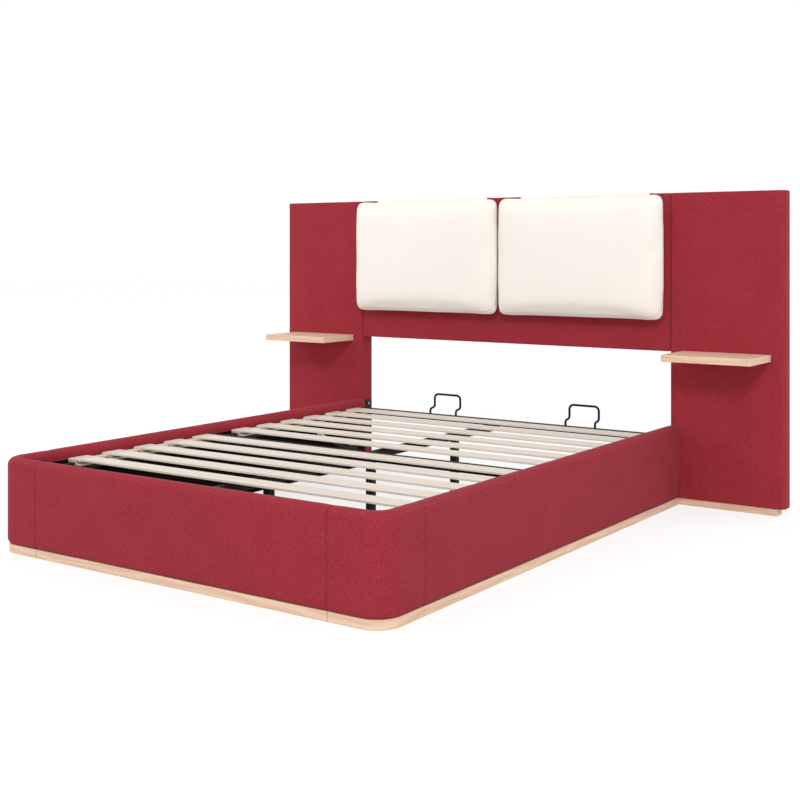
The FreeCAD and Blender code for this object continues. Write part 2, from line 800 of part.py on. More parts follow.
def hoop(middle_x):
    """A mattress hoop: two legs that step back towards the head, and a level top."""
    low_x, high_x = middle_x - hoop_width / 2, middle_x + hoop_width / 2
    rear_y = head_tube_y + hoop_step_back
    foot = head_tube_top - hoop_insert
    step = head_tube_top + hoop_foot_rise
    top = head_tube_top + hoop_height
    leg = [(head_tube_y, foot), (head_tube_y, step), (rear_y, step + hoop_step_rise), (rear_y, top)]
    points = [Vector(low_x, y, z) for y, z in leg] + [Vector(high_x, y, z) for y, z in reversed(leg)]
    bends = [hoop_bend_radius, hoop_bend_radius, hoop_top_radius]
    return bent_wire(points, bends + bends[::-1], hoop_wire_radius)


def make_platform():
    mid_slat = slat_place(front_slat_count - 1)
    halves_y = mid_slat + slat_width / 2 + tube_slat_gap

    side_tubes = [tube_y(strut_x, platform_foot, halves_y), tube_y(strut_x, halves_y, platform_head)]
    write_pair("side_tubes", side_tubes)

    hoop_places = (-left_hoop_offset, right_hoop_offset)
    leg_holes = [cylinder(Vector(place + side * hoop_width / 2, head_tube_y, tube_top), UP,
                          hoop_wire_radius + hoop_gap, head_tube_rise + cut_overrun)
                 for place in hoop_places for side in (-1, 1)]
    head_tube = drilled(tube_x(head_tube_y, head_tube_top, head_tube_top - head_tube_height), leg_holes)
    foot_tube = tube_x(platform_foot + tube_size / 2, tube_top, tube_bottom)

    # Bars where the halves meet: under the front half's last slat and across the rear half's tubes
    under_bar = box((tube_size / 2, mid_slat - under_bar_width / 2, tube_top - under_bar_height),
                    (tube_inner, mid_slat + under_bar_width / 2, tube_top))
    end_bar = box((-tube_outer, halves_y + end_bar_inset, tube_top),
                  (tube_outer, halves_y + end_bar_inset + end_bar_width, slat_top))
    write("cross_tubes", [foot_tube, under_bar, mirrored(under_bar), end_bar, head_tube])
    write("centre_tubes", [tube_y(0, platform_foot + tube_size, halves_y),
                           tube_y(0, halves_y, head_tube_y - tube_size / 2)])

    # Plastic plugs in the open ends of the side tubes
    caps = []
    plug_half = tube_size / 2 - tube_wall - end_cap_gap
    middle_z = (tube_bottom + tube_top) / 2
    for end, outward in ((platform_foot, -1), (platform_head, 1)):
        ys = sorted((end, end + outward * end_cap_thickness))
        plug_ys = sorted((end, end - outward * end_cap_plug))
        lid = box((tube_inner, ys[0], tube_bottom), (tube_outer, ys[1], tube_top))
        plug = box((strut_x - plug_half, plug_ys[0], middle_z - plug_half),
                   (strut_x + plug_half, plug_ys[1], middle_z + plug_half))
        caps.append(joined([lid, plug]))
    write_both_sides("tube_end_caps", caps)

    # Plates that join the two halves, on the outside of the side tubes
    plate = box((tube_outer, halves_y - joiner_length / 2, below_holders - joiner_height),
                (tube_outer + joiner_thickness, halves_y + joiner_length / 2, below_holders))
    seats = [Vector(tube_outer + joiner_thickness, halves_y + side * joiner_length * joiner_bolt_share,
                    below_holders - joiner_height / 2) for side in (-1, 1)]
    holes = [bolt_hole(seat, -RIGHT, joiner_bolt_grip) for seat in seats]
    write_both_sides("joiner_plates", [drilled(plate, holes)])
    write_both_sides("joiner_bolts", [bolt(seat, -RIGHT, joiner_thickness) for seat in seats])

    halves = (range(front_slat_count), range(front_slat_count, slat_count))
    write("front_slats", [slat(slat_place(index), 0) for index in halves[0]])
    write("rear_slats", [slat(slat_place(index), 0) for index in halves[1]])
    write_both_sides("slat_holders", [holder_strip(half) for half in halves])

    legs, feet = [], []
    for share in leg_shares:
        y = platform_foot + share * (platform_head - platform_foot)
        half, inside = leg_size / 2, leg_size / 2 - tube_wall
        outer = box((-half, y - half, foot_height), (half, y + half, tube_bottom))
        bore = box((-inside, y - inside, 0), (inside, y + inside, tube_bottom + cut_overrun))
        legs.append(outer.cut(bore))
        lip, plug = half + foot_lip, inside - foot_gap
        feet.append(joined([
            box((-lip, y - lip, 0), (lip, y + lip, foot_height)),
            box((-plug, y - plug, foot_height), (plug, y + plug, foot_height + foot_plug))]))
    write("centre_legs", legs)
    write("leg_feet", feet)

    write("left_hoop", [hoop(-left_hoop_offset)])
    write("right_hoop", [hoop(right_hoop_offset)])


# Cushions hung over the bridge panel

cushion_back = front_y - flap_gap - flap_thickness


def cushion_outline(depth, inset):
    """A cushion's outline at one depth, with round corners and sides drawn in between them."""
    half, rise = cushion_width / 2 - inset, cushion_height / 2 - inset
    radius = cushion_corner_radius * rise / (cushion_height / 2)
    draw = cushion_draw_in * rise / (cushion_height / 2)
    middle_x = (cushion_gap + cushion_width) / 2
    middle_z = cushion_bottom + cushion_height / 2
    y = cushion_back - depth

    def at(x, z):
        return Vector(middle_x + x, y, middle_z + z)

    diagonal = radius * (1 - math.sqrt(0.5))
    inside, level = half - radius, rise - radius
    arcs = [
        (at(-inside, -rise), at(0, draw - rise), at(inside, -rise)),
        (at(inside, -rise), at(half - diagonal, diagonal - rise), at(half, -level)),
        (at(half, -level), at(half - draw, 0), at(half, level)),
        (at(half, level), at(half - diagonal, rise - diagonal), at(inside, rise)),
        (at(inside, rise), at(0, rise - draw), at(-inside, rise)),
        (at(-inside, rise), at(diagonal - half, rise - diagonal), at(-half, level)),
        (at(-half, level), at(draw - half, 0), at(-half, -level)),
        (at(-half, -level), at(diagonal - half, diagonal - rise), at(-inside, -rise)),
    ]
    return Part.Wire([Part.Arc(*points).toShape() for points in arcs])


def flap_section():
    """A strip of cloth over the top of the bridge panel, down its front and its back."""
    middle_x = (cushion_gap + cushion_width) / 2

    def place(y, z):
        return Vector(middle_x - flap_width / 2, y, z)

    front, back, top = front_y - flap_gap, bridge_back + flap_gap, headboard_height + flap_gap
    bend = bridge_edge_radius + flap_gap
    skin = flap_thickness
    low_front, low_back = top - flap_front_drop, top - flap_back_drop
    outline = Outline(place, front - skin, low_front)
    outline.line(front - skin, top - bend).arc((front + bend, top - bend), front + bend, top + skin)
    outline.line(back - bend, top + skin).arc((back - bend, top - bend), back + skin, top - bend)
    outline.line(back + skin, low_back).line(back, low_back)
    outline.line(back, top - bend).arc((back - bend, top - bend), back - bend, top)
    outline.line(front + bend, top).arc((front + bend, top - bend), front, top - bend)
    outline.line(front, low_front)
    return outline.face()


def make_cushions():
    outlines = [cushion_outline(depth * cushion_thickness, inset * cushion_thickness)
                for depth, inset in zip(cushion_depth_shares, cushion_inset_shares)]
    write_pair("cushion", [Part.makeLoft(outlines, True, True)])
    write_pair("cushion_flap", [flap_section().extrude(RIGHT * flap_width)])


os.makedirs("parts", exist_ok=True)
make_base()
make_headboard()
make_steel()
make_lift()
make_platform()
make_cushions()
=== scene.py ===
import json
import math

import bmesh
import bpy
from bpy.props import FloatProperty, FloatVectorProperty, PointerProperty
from mathutils import Matrix, Vector, noise


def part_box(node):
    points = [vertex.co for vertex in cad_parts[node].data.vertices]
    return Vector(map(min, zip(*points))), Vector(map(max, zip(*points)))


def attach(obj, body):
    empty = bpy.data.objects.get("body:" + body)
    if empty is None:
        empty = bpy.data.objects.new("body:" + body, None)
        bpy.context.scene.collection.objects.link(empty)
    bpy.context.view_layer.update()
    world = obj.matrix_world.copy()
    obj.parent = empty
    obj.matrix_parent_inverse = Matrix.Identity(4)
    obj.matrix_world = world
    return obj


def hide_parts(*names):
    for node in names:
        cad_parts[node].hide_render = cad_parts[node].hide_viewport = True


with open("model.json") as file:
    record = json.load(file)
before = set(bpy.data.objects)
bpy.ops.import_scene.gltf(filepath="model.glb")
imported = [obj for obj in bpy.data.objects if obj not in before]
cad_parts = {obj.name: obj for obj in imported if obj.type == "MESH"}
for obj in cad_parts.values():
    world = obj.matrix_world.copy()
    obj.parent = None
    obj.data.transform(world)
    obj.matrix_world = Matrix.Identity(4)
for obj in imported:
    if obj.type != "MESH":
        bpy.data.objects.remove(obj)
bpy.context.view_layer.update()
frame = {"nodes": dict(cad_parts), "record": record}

bl_info = {
    "name": "Upholstered storage bed",
    "version": (1, 0, 0),
    "blender": (4, 5, 0),
    "location": "View3D > Sidebar > Bed",
    "description": "Dresses the bed's construction model with upholstery, cushions, wood and steel",
    "category": "Object",
}

SIDES = ("left", "right")

# Distances in metres at which points are merged, and at which they count as lying on a plane
TOUCH = 1e-6
NEAR = 1e-5
# Angle in radians past which an edge is sharp, and share of a normal past which a face looks along an axis
SHARP = 1.0
FACING = 0.7


def srgb(red, green, blue):
    """A colour as seen on screen, 0 to 255, in the shader's linear values."""
    parts = (channel / 255 for channel in (red, green, blue))
    return tuple(part / 12.92 if part <= 0.04045 else ((part + 0.055) / 1.055) ** 2.4 for part in parts)


def length(name, description, default):
    return FloatProperty(name=name, description=description, default=default, min=0.0,
                         unit="LENGTH", subtype="DISTANCE", precision=4)


def number(name, description, default):
    return FloatProperty(name=name, description=description, default=default, precision=4)


def colour(name, description, *shade):
    return FloatVectorProperty(name=name, description=description, default=srgb(*shade), size=3,
                               min=0.0, max=1.0, subtype="COLOR")


def group(kind, name, description):
    return PointerProperty(type=kind, name=name, description=description)


class BedUpholstery(bpy.types.PropertyGroup):
    """Sizes and colours of the padded rails and headboard"""
    rail_top_edge: length("Rail top edge", "Rounding of a rail's two top edges", 0.026)
    rail_foot_edge: length("Rail foot edge", "Rounding of a rail's lower outer edge", 0.018)
    wrap: length("Wrap", "How far the cloth reaches down a rail's inner face", 0.040)
    skin: length("Skin", "Thickness of foam and cloth on a rail's inner face", 0.006)
    panel_edge: length("Panel edge", "Rounding of the headboard's top edges and seams", 0.0055)
    panel_gap: length("Panel gap", "Open seam between a tall panel and the bridge panel", 0.0015)
    panel_corner: length("Panel corner", "Rounding of the headboard's free upright edges", 0.024)
    seam_edge: length("Seam edge", "How far the cloth turns in at a seam", 0.0020)
    swell: length("Swell", "How far the padding is drawn in towards its seams", 0.0016)
    ripple: length("Ripple", "Height of the slow unevenness of the padding", 0.0006)
    thread: length("Thread", "Distance between the threads of the red cloth", 0.0046)
    lining_thickness: length("Lining thickness", "Thickness of the lining cloth", 0.0014)
    lining_slack: length("Lining slack", "How far the lining stands off between its edges", 0.002)
    red: colour("Red", "Middle shade of the red cloth", 157, 46, 58)
    red_light: colour("Light red", "Raised threads of the red cloth", 190, 76, 86)
    red_dark: colour("Dark red", "Hollows between the threads of the red cloth", 102, 18, 29)
    lining: colour("Lining", "Cloth on the inner faces of the rails", 15, 10, 7)
    lining_light: colour("Lining fibre", "Raised fibres of the lining", 30, 24, 20)


class BedCushions(bpy.types.PropertyGroup):
    """Stuffing and cloth of the two hung cushions"""
    voxel: length("Voxel", "Mesh size used for the stuffing", 0.0075)
    cut_depth: length("Cut depth", "Depth of the cover as cut, before it is stuffed", 0.105)
    squareness: number("Squareness", "How square the cushion's corners are, from 2 for an oval", 26.0)
    flatness: number("Flatness", "How flat the cushion's face is, from 2 for a dome", 2.8)
    bulge: number("Bulge", "How far the sides bulge between the corners, as a share", 0.022)
    pressure: number("Pressure", "Pressure of the stuffing", 4.0)
    most_swell: length("Most swell", "Furthest that a point of the cover may move", 0.022)
    seam_place: length("Seam place", "Distance of the sewn seam from the cushion's back", 0.044)
    seam_sag: length("Seam sag", "How much further forward the seam runs along the bottom", 0.034)
    seam_sag_height: length("Seam sag height", "Height over which the seam turns forward", 0.10)
    stitch: length("Stitch", "Length of a stitch, and its distance from the seam", 0.0045)
    hang: length("Hang", "Height of the slow unevenness of the stuffed cover", 0.0014)
    flap_thickness: length("Flap thickness", "Thickness of the flap's doubled cloth", 0.0022)
    flap_drop: length("Flap drop", "How far a flap reaches down behind its cushion", 0.070)
    flap_room: length("Flap room", "Room between a flap and the bridge panel", 0.0006)
    flap_ripple: length("Flap ripple", "Height of the flap's waves", 0.0008)
    thread: length("Thread", "Distance between the threads of the ivory cloth", 0.0022)
    ivory: colour("Ivory", "The cushions' cloth", 253, 247, 239)
    ivory_dark: colour("Ivory shade", "Hollows between the ivory threads", 237, 228, 217)
    # Painted shade: this darker colour is laid along the seam's groove to stand in for the shade that falls
    # into it
    seam_painted_shade: colour("Seam shade", "Bottom of the sewn seam", 188, 178, 166)


class BedWood(bpy.types.PropertyGroup):
    """Shelves, plinth and slats"""
    edge: length("Edge", "Rounding of shelf and plinth edges", 0.0025)
    shelf_corner: length("Shelf corner", "Rounding of a shelf's two front corners", 0.006)
    joint: length("Joint", "How far each length of the plinth stops short of a joint", 0.0013)
    slat_edge: length("Slat edge", "Rounding of a slat's edges", 0.0011)
    oak_light: colour("Pale oak", "Light bands of the shelves and plinth", 244, 216, 191)
    oak_dark: colour("Oak grain", "Dark bands and pores of the shelves and plinth", 218, 179, 146)
    slat_light: colour("Slat", "Face of the whitened slats", 240, 230, 218)
    slat_dark: colour("Slat grain", "Grain of the whitened slats", 221, 208, 194)
    cap: colour("End cap", "Moulded caps on the slats' ends", 222, 210, 194)
    cap_dark: colour("End cap shade", "Shaded grain of the moulded caps", 210, 197, 181)
    flake_dark: colour("Dark flake", "Dark flakes of the pressed board in the cores", 168, 132, 92)
    flake_light: colour("Light flake", "Light flakes of the pressed board in the cores", 212, 182, 140)


class BedSteel(bpy.types.PropertyGroup):
    """Tubes, hardware and plastic fittings"""
    tube_edge: length("Tube edge", "Rounding of the square tubes", 0.003)
    coat: colour("Powder coat", "Black coat on tubes and plates", 13, 11, 10)
    coat_light: colour("Dusty coat", "Paler patches of the black coat", 25, 22, 21)
    zinc: colour("Zinc", "Plated bolts and pins", 178, 178, 176)
    zinc_dark: colour("Zinc shade", "Draw lines of the plated bolts and pins", 136, 136, 134)
    chrome: colour("Chrome", "Polished strut rods", 212, 212, 214)
    chrome_dark: colour("Chrome shade", "Draw lines of the polished rods", 186, 187, 190)
    plastic: colour("Plastic", "Feet and tube plugs", 24, 23, 23)
    plastic_light: colour("Plastic grain", "Paler grain of feet and tube plugs", 40, 39, 39)


class BedStage(bpy.types.PropertyGroup):
    """Camera, lamps and floor"""
    camera_place: FloatVectorProperty(name="Camera place", description="Where the camera stands", size=3,
                                      default=(2.8090, -3.8521, 1.0608), subtype="TRANSLATION", unit="LENGTH")
    camera_turn: FloatProperty(name="Camera turn", description="Turn of the camera from the bed's length",
                               default=0.60759, subtype="ANGLE", unit="ROTATION")
    lens: number("Lens", "Focal length in millimetres on a 36 mm sensor", 55.462)
    shift: number("Shift", "Vertical shift of the level camera", -0.18782)
    key: number("Key lamp", "Power of the lamp in front, in watts", 540.0)
    fill: number("Fill lamp", "Power of the lamp at the right, in watts", 16.0)
    left: number("Left lamp", "Power of the lamp at the left of the headboard, in watts", 11.0)
    sky: number("Sky", "Strength of the even light all round", 0.81)
    floor: colour("Floor", "The pale floor", 236, 235, 233)
    floor_dark: colour("Floor cloud", "Clouds on the pale floor", 232, 231, 229)
    floor_grey: number("Floor grey", "Share of the lamps' light that the floor gives back as seen", 0.34)
    floor_glow: number("Floor glow", "Light that the floor adds as seen, so that it reads white", 0.72)


class BedSettings(bpy.types.PropertyGroup):
    """All that can be set on the bed"""
    upholstery: group(BedUpholstery, "Upholstery", "Padded rails and headboard")
    cushions: group(BedCushions, "Cushions", "The two hung cushions")
    wood: group(BedWood, "Wood", "Shelves, plinth and slats")
    steel: group(BedSteel, "Steel", "Tubes and hardware")
    stage: group(BedStage, "Stage", "Camera, lamps and floor")


def settings():
    return bpy.context.scene.bed


# Materials

class Value:
    """A node's output that can stand in an expression."""

    def __init__(self, finish, socket):
        self.finish = finish
        self.socket = socket

    def math(self, operation, *values):
        return self.finish.node("ShaderNodeMath", {"operation": operation}, dict(enumerate(values)))

    def __add__(self, other):
        return self.math("ADD", self, other)

    def __radd__(self, other):
        return self.math("ADD", other, self)

    def __sub__(self, other):
        return self.math("SUBTRACT", self, other)

    def __rsub__(self, other):
        return self.math("SUBTRACT", other, self)

    def __mul__(self, other):
        return self.math("MULTIPLY", self, other)

    def __rmul__(self, other):
        return self.math("MULTIPLY", other, self)

    def __gt__(self, other):
        return self.math("GREATER_THAN", self, other)

    def __abs__(self):
        return self.math("ABSOLUTE", self)

    def sine(self):
        return self.math("SINE", self)

    def larger(self, other):
        return self.math("MAXIMUM", self, other)

    def between(self, low, high):
        """Goes smoothly from 0 at low to 1 at high."""
        return self.finish.node("ShaderNodeMapRange", {"interpolation_type": "SMOOTHSTEP"},
                                {"Value": self, "From Min": low, "From Max": high})


class Nodes:
    """A node tree that is written as expressions."""

    def __init__(self, tree):
        self.tree = tree

    def put(self, socket, value):
        if isinstance(value, Value):
            self.tree.links.new(value.socket, socket)
        elif getattr(socket, "type", "") == "RGBA" and len(value) == 3:
            socket.default_value = (*value, 1.0)
        else:
            socket.default_value = value

    def node(self, kind, options=None, sockets=None, out=0):
        """Add a node: its type, its options, and the values or links of its sockets."""
        made = self.tree.nodes.new(kind)
        for name, value in (options or {}).items():
            setattr(made, name, value)
        for name, value in (sockets or {}).items():
            self.put(made.inputs[name], value)
        return Value(self, made.outputs[out])

    def shown(self):
        """1 for rays from the camera, also in a mirror or through glass."""
        seen = self.node("ShaderNodeLightPath", out="Is Camera Ray")
        for kind in ("Is Glossy Ray", "Is Transmission Ray"):
            seen = seen.larger(self.node("ShaderNodeLightPath", out=kind))
        return seen

    def end(self, output, surface):
        self.put(self.tree.nodes[output].inputs["Surface"], surface)


class Finish(Nodes):
    """A material whose nodes are written as expressions."""

    def __init__(self, name, **constants):
        self.material = bpy.data.materials.new(name)
        self.material.use_nodes = True
        super().__init__(self.material.node_tree)
        self.shader = self.tree.nodes["Principled BSDF"]
        for socket, value in constants.items():
            self.shader.inputs[socket.replace("_", " ")].default_value = value

    def place(self):
        return self.node("ShaderNodeTexCoord", out="Object")

    def laid(self):
        """The piece's own map, in metres along and across the cloth or grain."""
        return self.node("ShaderNodeUVMap", {"uv_map": "laid"})

    def scaled(self, vector, *factors):
        return self.node("ShaderNodeVectorMath", {"operation": "MULTIPLY"}, {0: vector, 1: factors})

    def moved(self, vector, offset):
        return self.node("ShaderNodeVectorMath", {"operation": "ADD"}, {0: vector, 1: offset})

    def axis(self, vector, name):
        return self.node("ShaderNodeSeparateXYZ", None, {"Vector": vector}, name)

    def grain(self, vector, scale, detail=2.0, roughness=0.5):
        return self.node("ShaderNodeTexNoise", None,
                         {"Vector": vector, "Scale": scale, "Detail": detail, "Roughness": roughness})

    def mix(self, factor, first, second):
        return self.node("ShaderNodeMix", {"data_type": "RGBA"}, {0: factor, 6: first, 7: second}, 2)

    def bump(self, height, distance, strength=1.0):
        return self.node("ShaderNodeBump", None,
                         {"Height": height, "Distance": distance, "Strength": strength})

    def set(self, **sockets):
        for name, value in sockets.items():
            self.put(self.shader.inputs[name.replace("_", " ")], value)
        return self.material


def woven(finish, laid, thread, wobble):
    """Height of a plain weave, from 0 in its hollows to 1 on its threads."""
    slow = finish.node("ShaderNodeTexNoise", None, {"Vector": laid, "Scale": 0.35 / thread}, "Color")
    cloth = finish.moved(laid, finish.scaled(slow, wobble, wobble, 0.0))
    across = (finish.axis(cloth, "X") * (math.pi / thread)).sine()
    along = (finish.axis(cloth, "Y") * (math.pi / thread)).sine()
    over = (across * along).between(-0.25, 0.25)
    return abs(across) * over + abs(along) * (1 - over)


def red_cloth():
    s = settings().upholstery
    finish = Finish("red_cloth", Sheen_Weight=0.06, Sheen_Roughness=0.45, Specular_IOR_Level=0.08)
    laid = finish.laid()
    weave = woven(finish, laid, s.thread, wobble=0.0016)
    slub = finish.grain(finish.scaled(laid, 60.0, 420.0, 1.0), 1.0, 3.0, 0.65)
    slub_up = finish.grain(finish.scaled(laid, 420.0, 70.0, 1.0), 1.0, 3.0, 0.65)
    fleck = finish.grain(laid, 340.0, 3.0, 0.7)
    cloud = finish.grain(laid, 7.0, 2.0)
    tone = 0.45 * weave + 1.5 * fleck + 0.5 * slub + 0.5 * slub_up + 0.15 * cloud - 1.1
    shade = finish.mix(tone.between(0.02, 0.5), s.red_dark, s.red)
    shade = finish.mix(tone.between(0.52, 0.95), shade, s.red_light)
    height = weave * 0.7 + fleck * 0.6 + slub * 0.25 + slub_up * 0.25
    return finish.set(Base_Color=shade, Roughness=0.78 + 0.18 * fleck,
                      Normal=finish.bump(height, distance=0.0014, strength=0.6))


def ivory_cloth():
    s = settings().cushions
    low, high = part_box("left_cushion")
    finish = Finish("ivory_cloth", Sheen_Weight=0.12, Sheen_Roughness=0.5, Specular_IOR_Level=0.15)
    place = finish.place()
    across, deep, up = (finish.axis(place, name) for name in "XYZ")
    weave = woven(finish, finish.node("ShaderNodeCombineXYZ", None, {"X": across, "Y": up, "Z": deep}),
                  s.thread, wobble=0.0006)
    fleck = finish.grain(place, 330.0, 3.0, 0.6)
    cloud = finish.grain(place, 5.0, 2.0)
    sag = 1 - up.between(low.z, low.z + s.seam_sag_height)
    line = abs(deep + s.seam_sag * sag + (s.seam_place - high.y))
    seam = 1 - line.between(0.0006, 0.0026)
    dash = ((across + up) * (math.pi / s.stitch)).sine() > -0.2
    stitch = dash * (1 - abs(line - s.stitch).between(0.0004, 0.0012))
    tone = 0.55 * weave + 0.35 * fleck + 0.25 * cloud
    shade = finish.mix(tone.between(0.05, 0.75), s.ivory_dark, s.ivory)
    # Painted shade: the colour is darkened half way to the seam colour along the seam's groove, besides the
    # groove's own bump
    shade = finish.mix(seam * 0.5, shade, s.seam_painted_shade)
    height = weave * 0.5 + fleck * 0.3 - seam * 3.0 + stitch * 0.8
    return finish.set(Base_Color=shade, Roughness=0.86 + 0.1 * fleck,
                      Normal=finish.bump(height, distance=0.0007, strength=0.5))


def lining_cloth():
    s = settings().upholstery
    finish = Finish("lining_cloth", Specular_IOR_Level=0.06)
    place = finish.place()
    fibre = finish.grain(finish.scaled(place, 260.0, 260.0, 900.0), 1.0, 3.0, 0.7)
    dimple = finish.node("ShaderNodeTexVoronoi", None, {"Vector": place, "Scale": 380.0})
    shade = finish.mix(fibre.between(0.3, 0.75), s.lining, s.lining_light)
    return finish.set(Base_Color=shade, Roughness=0.85 + 0.12 * fibre,
                      Normal=finish.bump(dimple + fibre, distance=0.0005, strength=0.4))


def grained(name, light, dark, contrast, roughness, shine):
    """Straight-grained wood, with its grain along the first axis of the piece's map."""
    finish = Finish(name, Specular_IOR_Level=shine, Coat_Roughness=0.4)
    laid = finish.laid()
    sway = finish.grain(finish.scaled(laid, 2.2, 9.0, 1.0), 1.0, 2.0)
    band = (finish.axis(laid, "Y") * 240.0 + sway * 26.0).sine() * 0.5 + 0.5
    streak = finish.grain(finish.scaled(laid, 5.0, 210.0, 1.0), 1.0, 4.0, 0.6)
    pore = finish.grain(finish.scaled(laid, 42.0, 1500.0, 1.0), 1.0, 2.0, 0.6).between(0.56, 0.74)
    cloud = finish.grain(finish.scaled(laid, 1.5, 6.0, 1.0), 1.0, 2.0)
    tone = contrast * (0.3 * band + 0.75 * streak + 0.3 * cloud - 0.25) + 0.28 * contrast * pore
    shade = finish.mix(tone.between(0.0, 0.9), light, dark)
    return finish.set(Base_Color=shade, Roughness=roughness + 0.14 * streak,
                      Coat_Weight=0.17 * shine * (1 + band),
                      Normal=finish.bump(streak * 0.5 - pore, distance=0.00025, strength=0.45))


def moulded(name, shade, darker, roughness):
    """Moulded plastic with a fine spark-eroded grain."""
    finish = Finish(name, Specular_IOR_Level=0.4)
    place = finish.place()
    spark = finish.grain(place, 900.0, 2.0, 0.6)
    cloud = finish.grain(place, 22.0, 3.0)
    tone = finish.mix((0.6 * cloud + 0.4 * spark).between(0.3, 0.75), shade, darker)
    return finish.set(Base_Color=tone, Roughness=roughness + 0.16 * cloud,
                      Normal=finish.bump(spark, distance=0.0002, strength=0.35))


def chipboard():
    """Pressed board of wood flakes, as it shows where the cloth ends."""
    s = settings().wood
    finish = Finish("chipboard", Specular_IOR_Level=0.2)
    place = finish.place()
    flake = finish.node("ShaderNodeTexVoronoi", None,
                        {"Vector": finish.scaled(place, 240.0, 240.0, 110.0), "Scale": 1.0}, "Color")
    dust = finish.grain(place, 800.0, 3.0, 0.7)
    tone = finish.axis(flake, "X") * 0.7 + dust * 0.5
    shade = finish.mix(tone.between(0.1, 1.0), s.flake_dark, s.flake_light)
    return finish.set(Base_Color=shade, Roughness=0.7 + 0.2 * dust,
                      Normal=finish.bump(tone, distance=0.0006, strength=0.5))


def powder_coat():
    s = settings().steel
    finish = Finish("powder_coat", Specular_IOR_Level=0.18)
    place = finish.place()
    peel = finish.grain(place, 620.0, 2.0, 0.5)
    dust = finish.grain(place, 14.0, 4.0, 0.6)
    shade = finish.mix(dust.between(0.35, 0.8), s.coat, s.coat_light)
    return finish.set(Base_Color=shade, Roughness=0.42 + 0.22 * dust,
                      Normal=finish.bump(peel, distance=0.0003, strength=0.35))


def plated(name, shade, darker, roughness):
    """Plated or polished steel with faint draw lines."""
    finish = Finish(name)
    place = finish.place()
    line = finish.grain(finish.scaled(place, 2400.0, 90.0, 2400.0), 1.0, 3.0, 0.6)
    cloud = finish.grain(place, 60.0, 3.0)
    tone = finish.mix((0.5 * line + 0.5 * cloud).between(0.3, 0.75), shade, darker)
    return finish.set(Base_Color=tone, Metallic=0.92 + 0.08 * cloud, Roughness=roughness + 0.2 * line * cloud,
                      Normal=finish.bump(line, distance=0.0001, strength=0.3))


def material(name, make, *values):
    """A material by its name, made the first time it is asked for."""
    return bpy.data.materials.get(name) or make(*values)


def pale_oak():
    s = settings().wood
    return material("pale_oak", grained, "pale_oak", s.oak_light, s.oak_dark, 1.0, 0.42, 0.35)


def slat_wood():
    s = settings().wood
    return material("whitened_slat", grained, "whitened_slat", s.slat_light, s.slat_dark, 0.9, 0.6, 0.1)


def black_coat():
    return material("powder_coat", powder_coat)


# Mesh helpers

def solid_boxes(node):
    """The lowest and highest corners of each solid of a construction node."""
    bm = bmesh.new()
    bm.from_mesh(frame["nodes"][node].data)
    bmesh.ops.remove_doubles(bm, verts=bm.verts, dist=TOUCH)
    waiting = set(bm.verts)
    boxes = []
    while waiting:
        found = [waiting.pop()]
        for vert in found:
            for edge in vert.link_edges:
                other = edge.other_vert(vert)
                if other in waiting:
                    waiting.remove(other)
                    found.append(other)
        low = Vector(map(min, zip(*(vert.co for vert in found))))
        high = Vector(map(max, zip(*(vert.co for vert in found))))
        boxes.append((low, high))
    bm.free()
    return sorted(boxes, key=lambda box: tuple(box[0]))


def add_box(bm, low, high, edge=0.0, steps=2):
    """A block between two corners, with its edges rounded."""
    low, high = Vector(low), Vector(high)
    shape = Matrix.Translation((low + high) / 2) @ Matrix.Diagonal((*(high - low), 1.0))
    verts = bmesh.ops.create_cube(bm, size=1.0, matrix=shape)["verts"]
    edges = list({link for vert in verts for link in vert.link_edges})
    if edge:
        round_edges(bm, [link for link in edges if sharp(link)], edge, steps)


def sharp(edge):
    return edge.calc_face_angle(0.0) > SHARP


def reach(edge, axis):
    """How far an edge runs along an axis."""
    first, second = edge.verts
    return abs(first.co[axis] - second.co[axis])


def edges_on(bm, axis, place):
    """The edges that lie on a plane square to an axis."""
    return [edge for edge in bm.edges if all(abs(vert.co[axis] - place) < NEAR for vert in edge.verts)]


def round_edges(bm, edges, radius, steps, affect="EDGES"):
    return bmesh.ops.bevel(bm, geom=edges, offset=radius, offset_type="OFFSET", affect=affect, segments=steps,
                           profile=0.5, material=-1)


def lay(bm, place):
    """Give every corner its place on the cloth or board, in metres."""
    bm.normal_update()
    layer = bm.loops.layers.uv.new("laid")
    for face in bm.faces:
        for loop in face.loops:
            loop[layer].uv = place(loop.vert.co, face.normal)


def along_axis(grain):
    """A map with its first axis along one axis of the bed, laid on each face from the side it faces."""
    def place(co, normal):
        facing = max(range(3), key=lambda index: abs(normal[index]))
        rest = [index for index in range(3) if index != facing]
        if grain in rest:
            rest.remove(grain)
            return co[grain], co[rest[0]] + 0.31 * co[facing]
        return co[rest[0]] * 0.2, co[rest[1]]
    return place


def draw_in(bm, depth, seed, held=None):
    """Draw the padding in by depth and, up to a second depth, unevenly. A held axis keeps its place."""
    bm.normal_update()
    moves = []
    for vert in bm.verts:
        drawn, uneven = depth(vert.co, vert.normal)
        broad = noise.noise(vert.co * 6.0 + Vector((seed, 0, 0)))
        slow = broad + 0.5 * noise.noise(vert.co * 17.0 + Vector((0, seed, 0)))
        way = vert.normal.copy()
        axis = held(vert.co) if held else None
        if axis is not None:
            way[axis] = 0.0
            way.normalize()
        moves.append((vert, way * -(drawn + uneven * (0.5 + 0.33 * slow))))
    for vert, move in moves:
        vert.co += move


def shade_smooth(mesh):
    for face in mesh.polygons:
        face.use_smooth = True


def link_mesh(name, bm, finish):
    """Turn a bmesh into a smooth object of the scene."""
    mesh = bpy.data.meshes.new(name)
    bm.to_mesh(mesh)
    bm.free()
    shade_smooth(mesh)
    mesh.materials.append(finish)
    made = bpy.data.objects.new(name, mesh)
    bpy.context.scene.collection.objects.link(made)
    return made


def place_piece(name, bm, finish, body, nodes):
    """Turn a bmesh into a piece that rides on a body and stands for construction nodes."""
    piece = link_mesh(name, bm, finish)
    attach(piece, body)
    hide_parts(*nodes)
    return piece


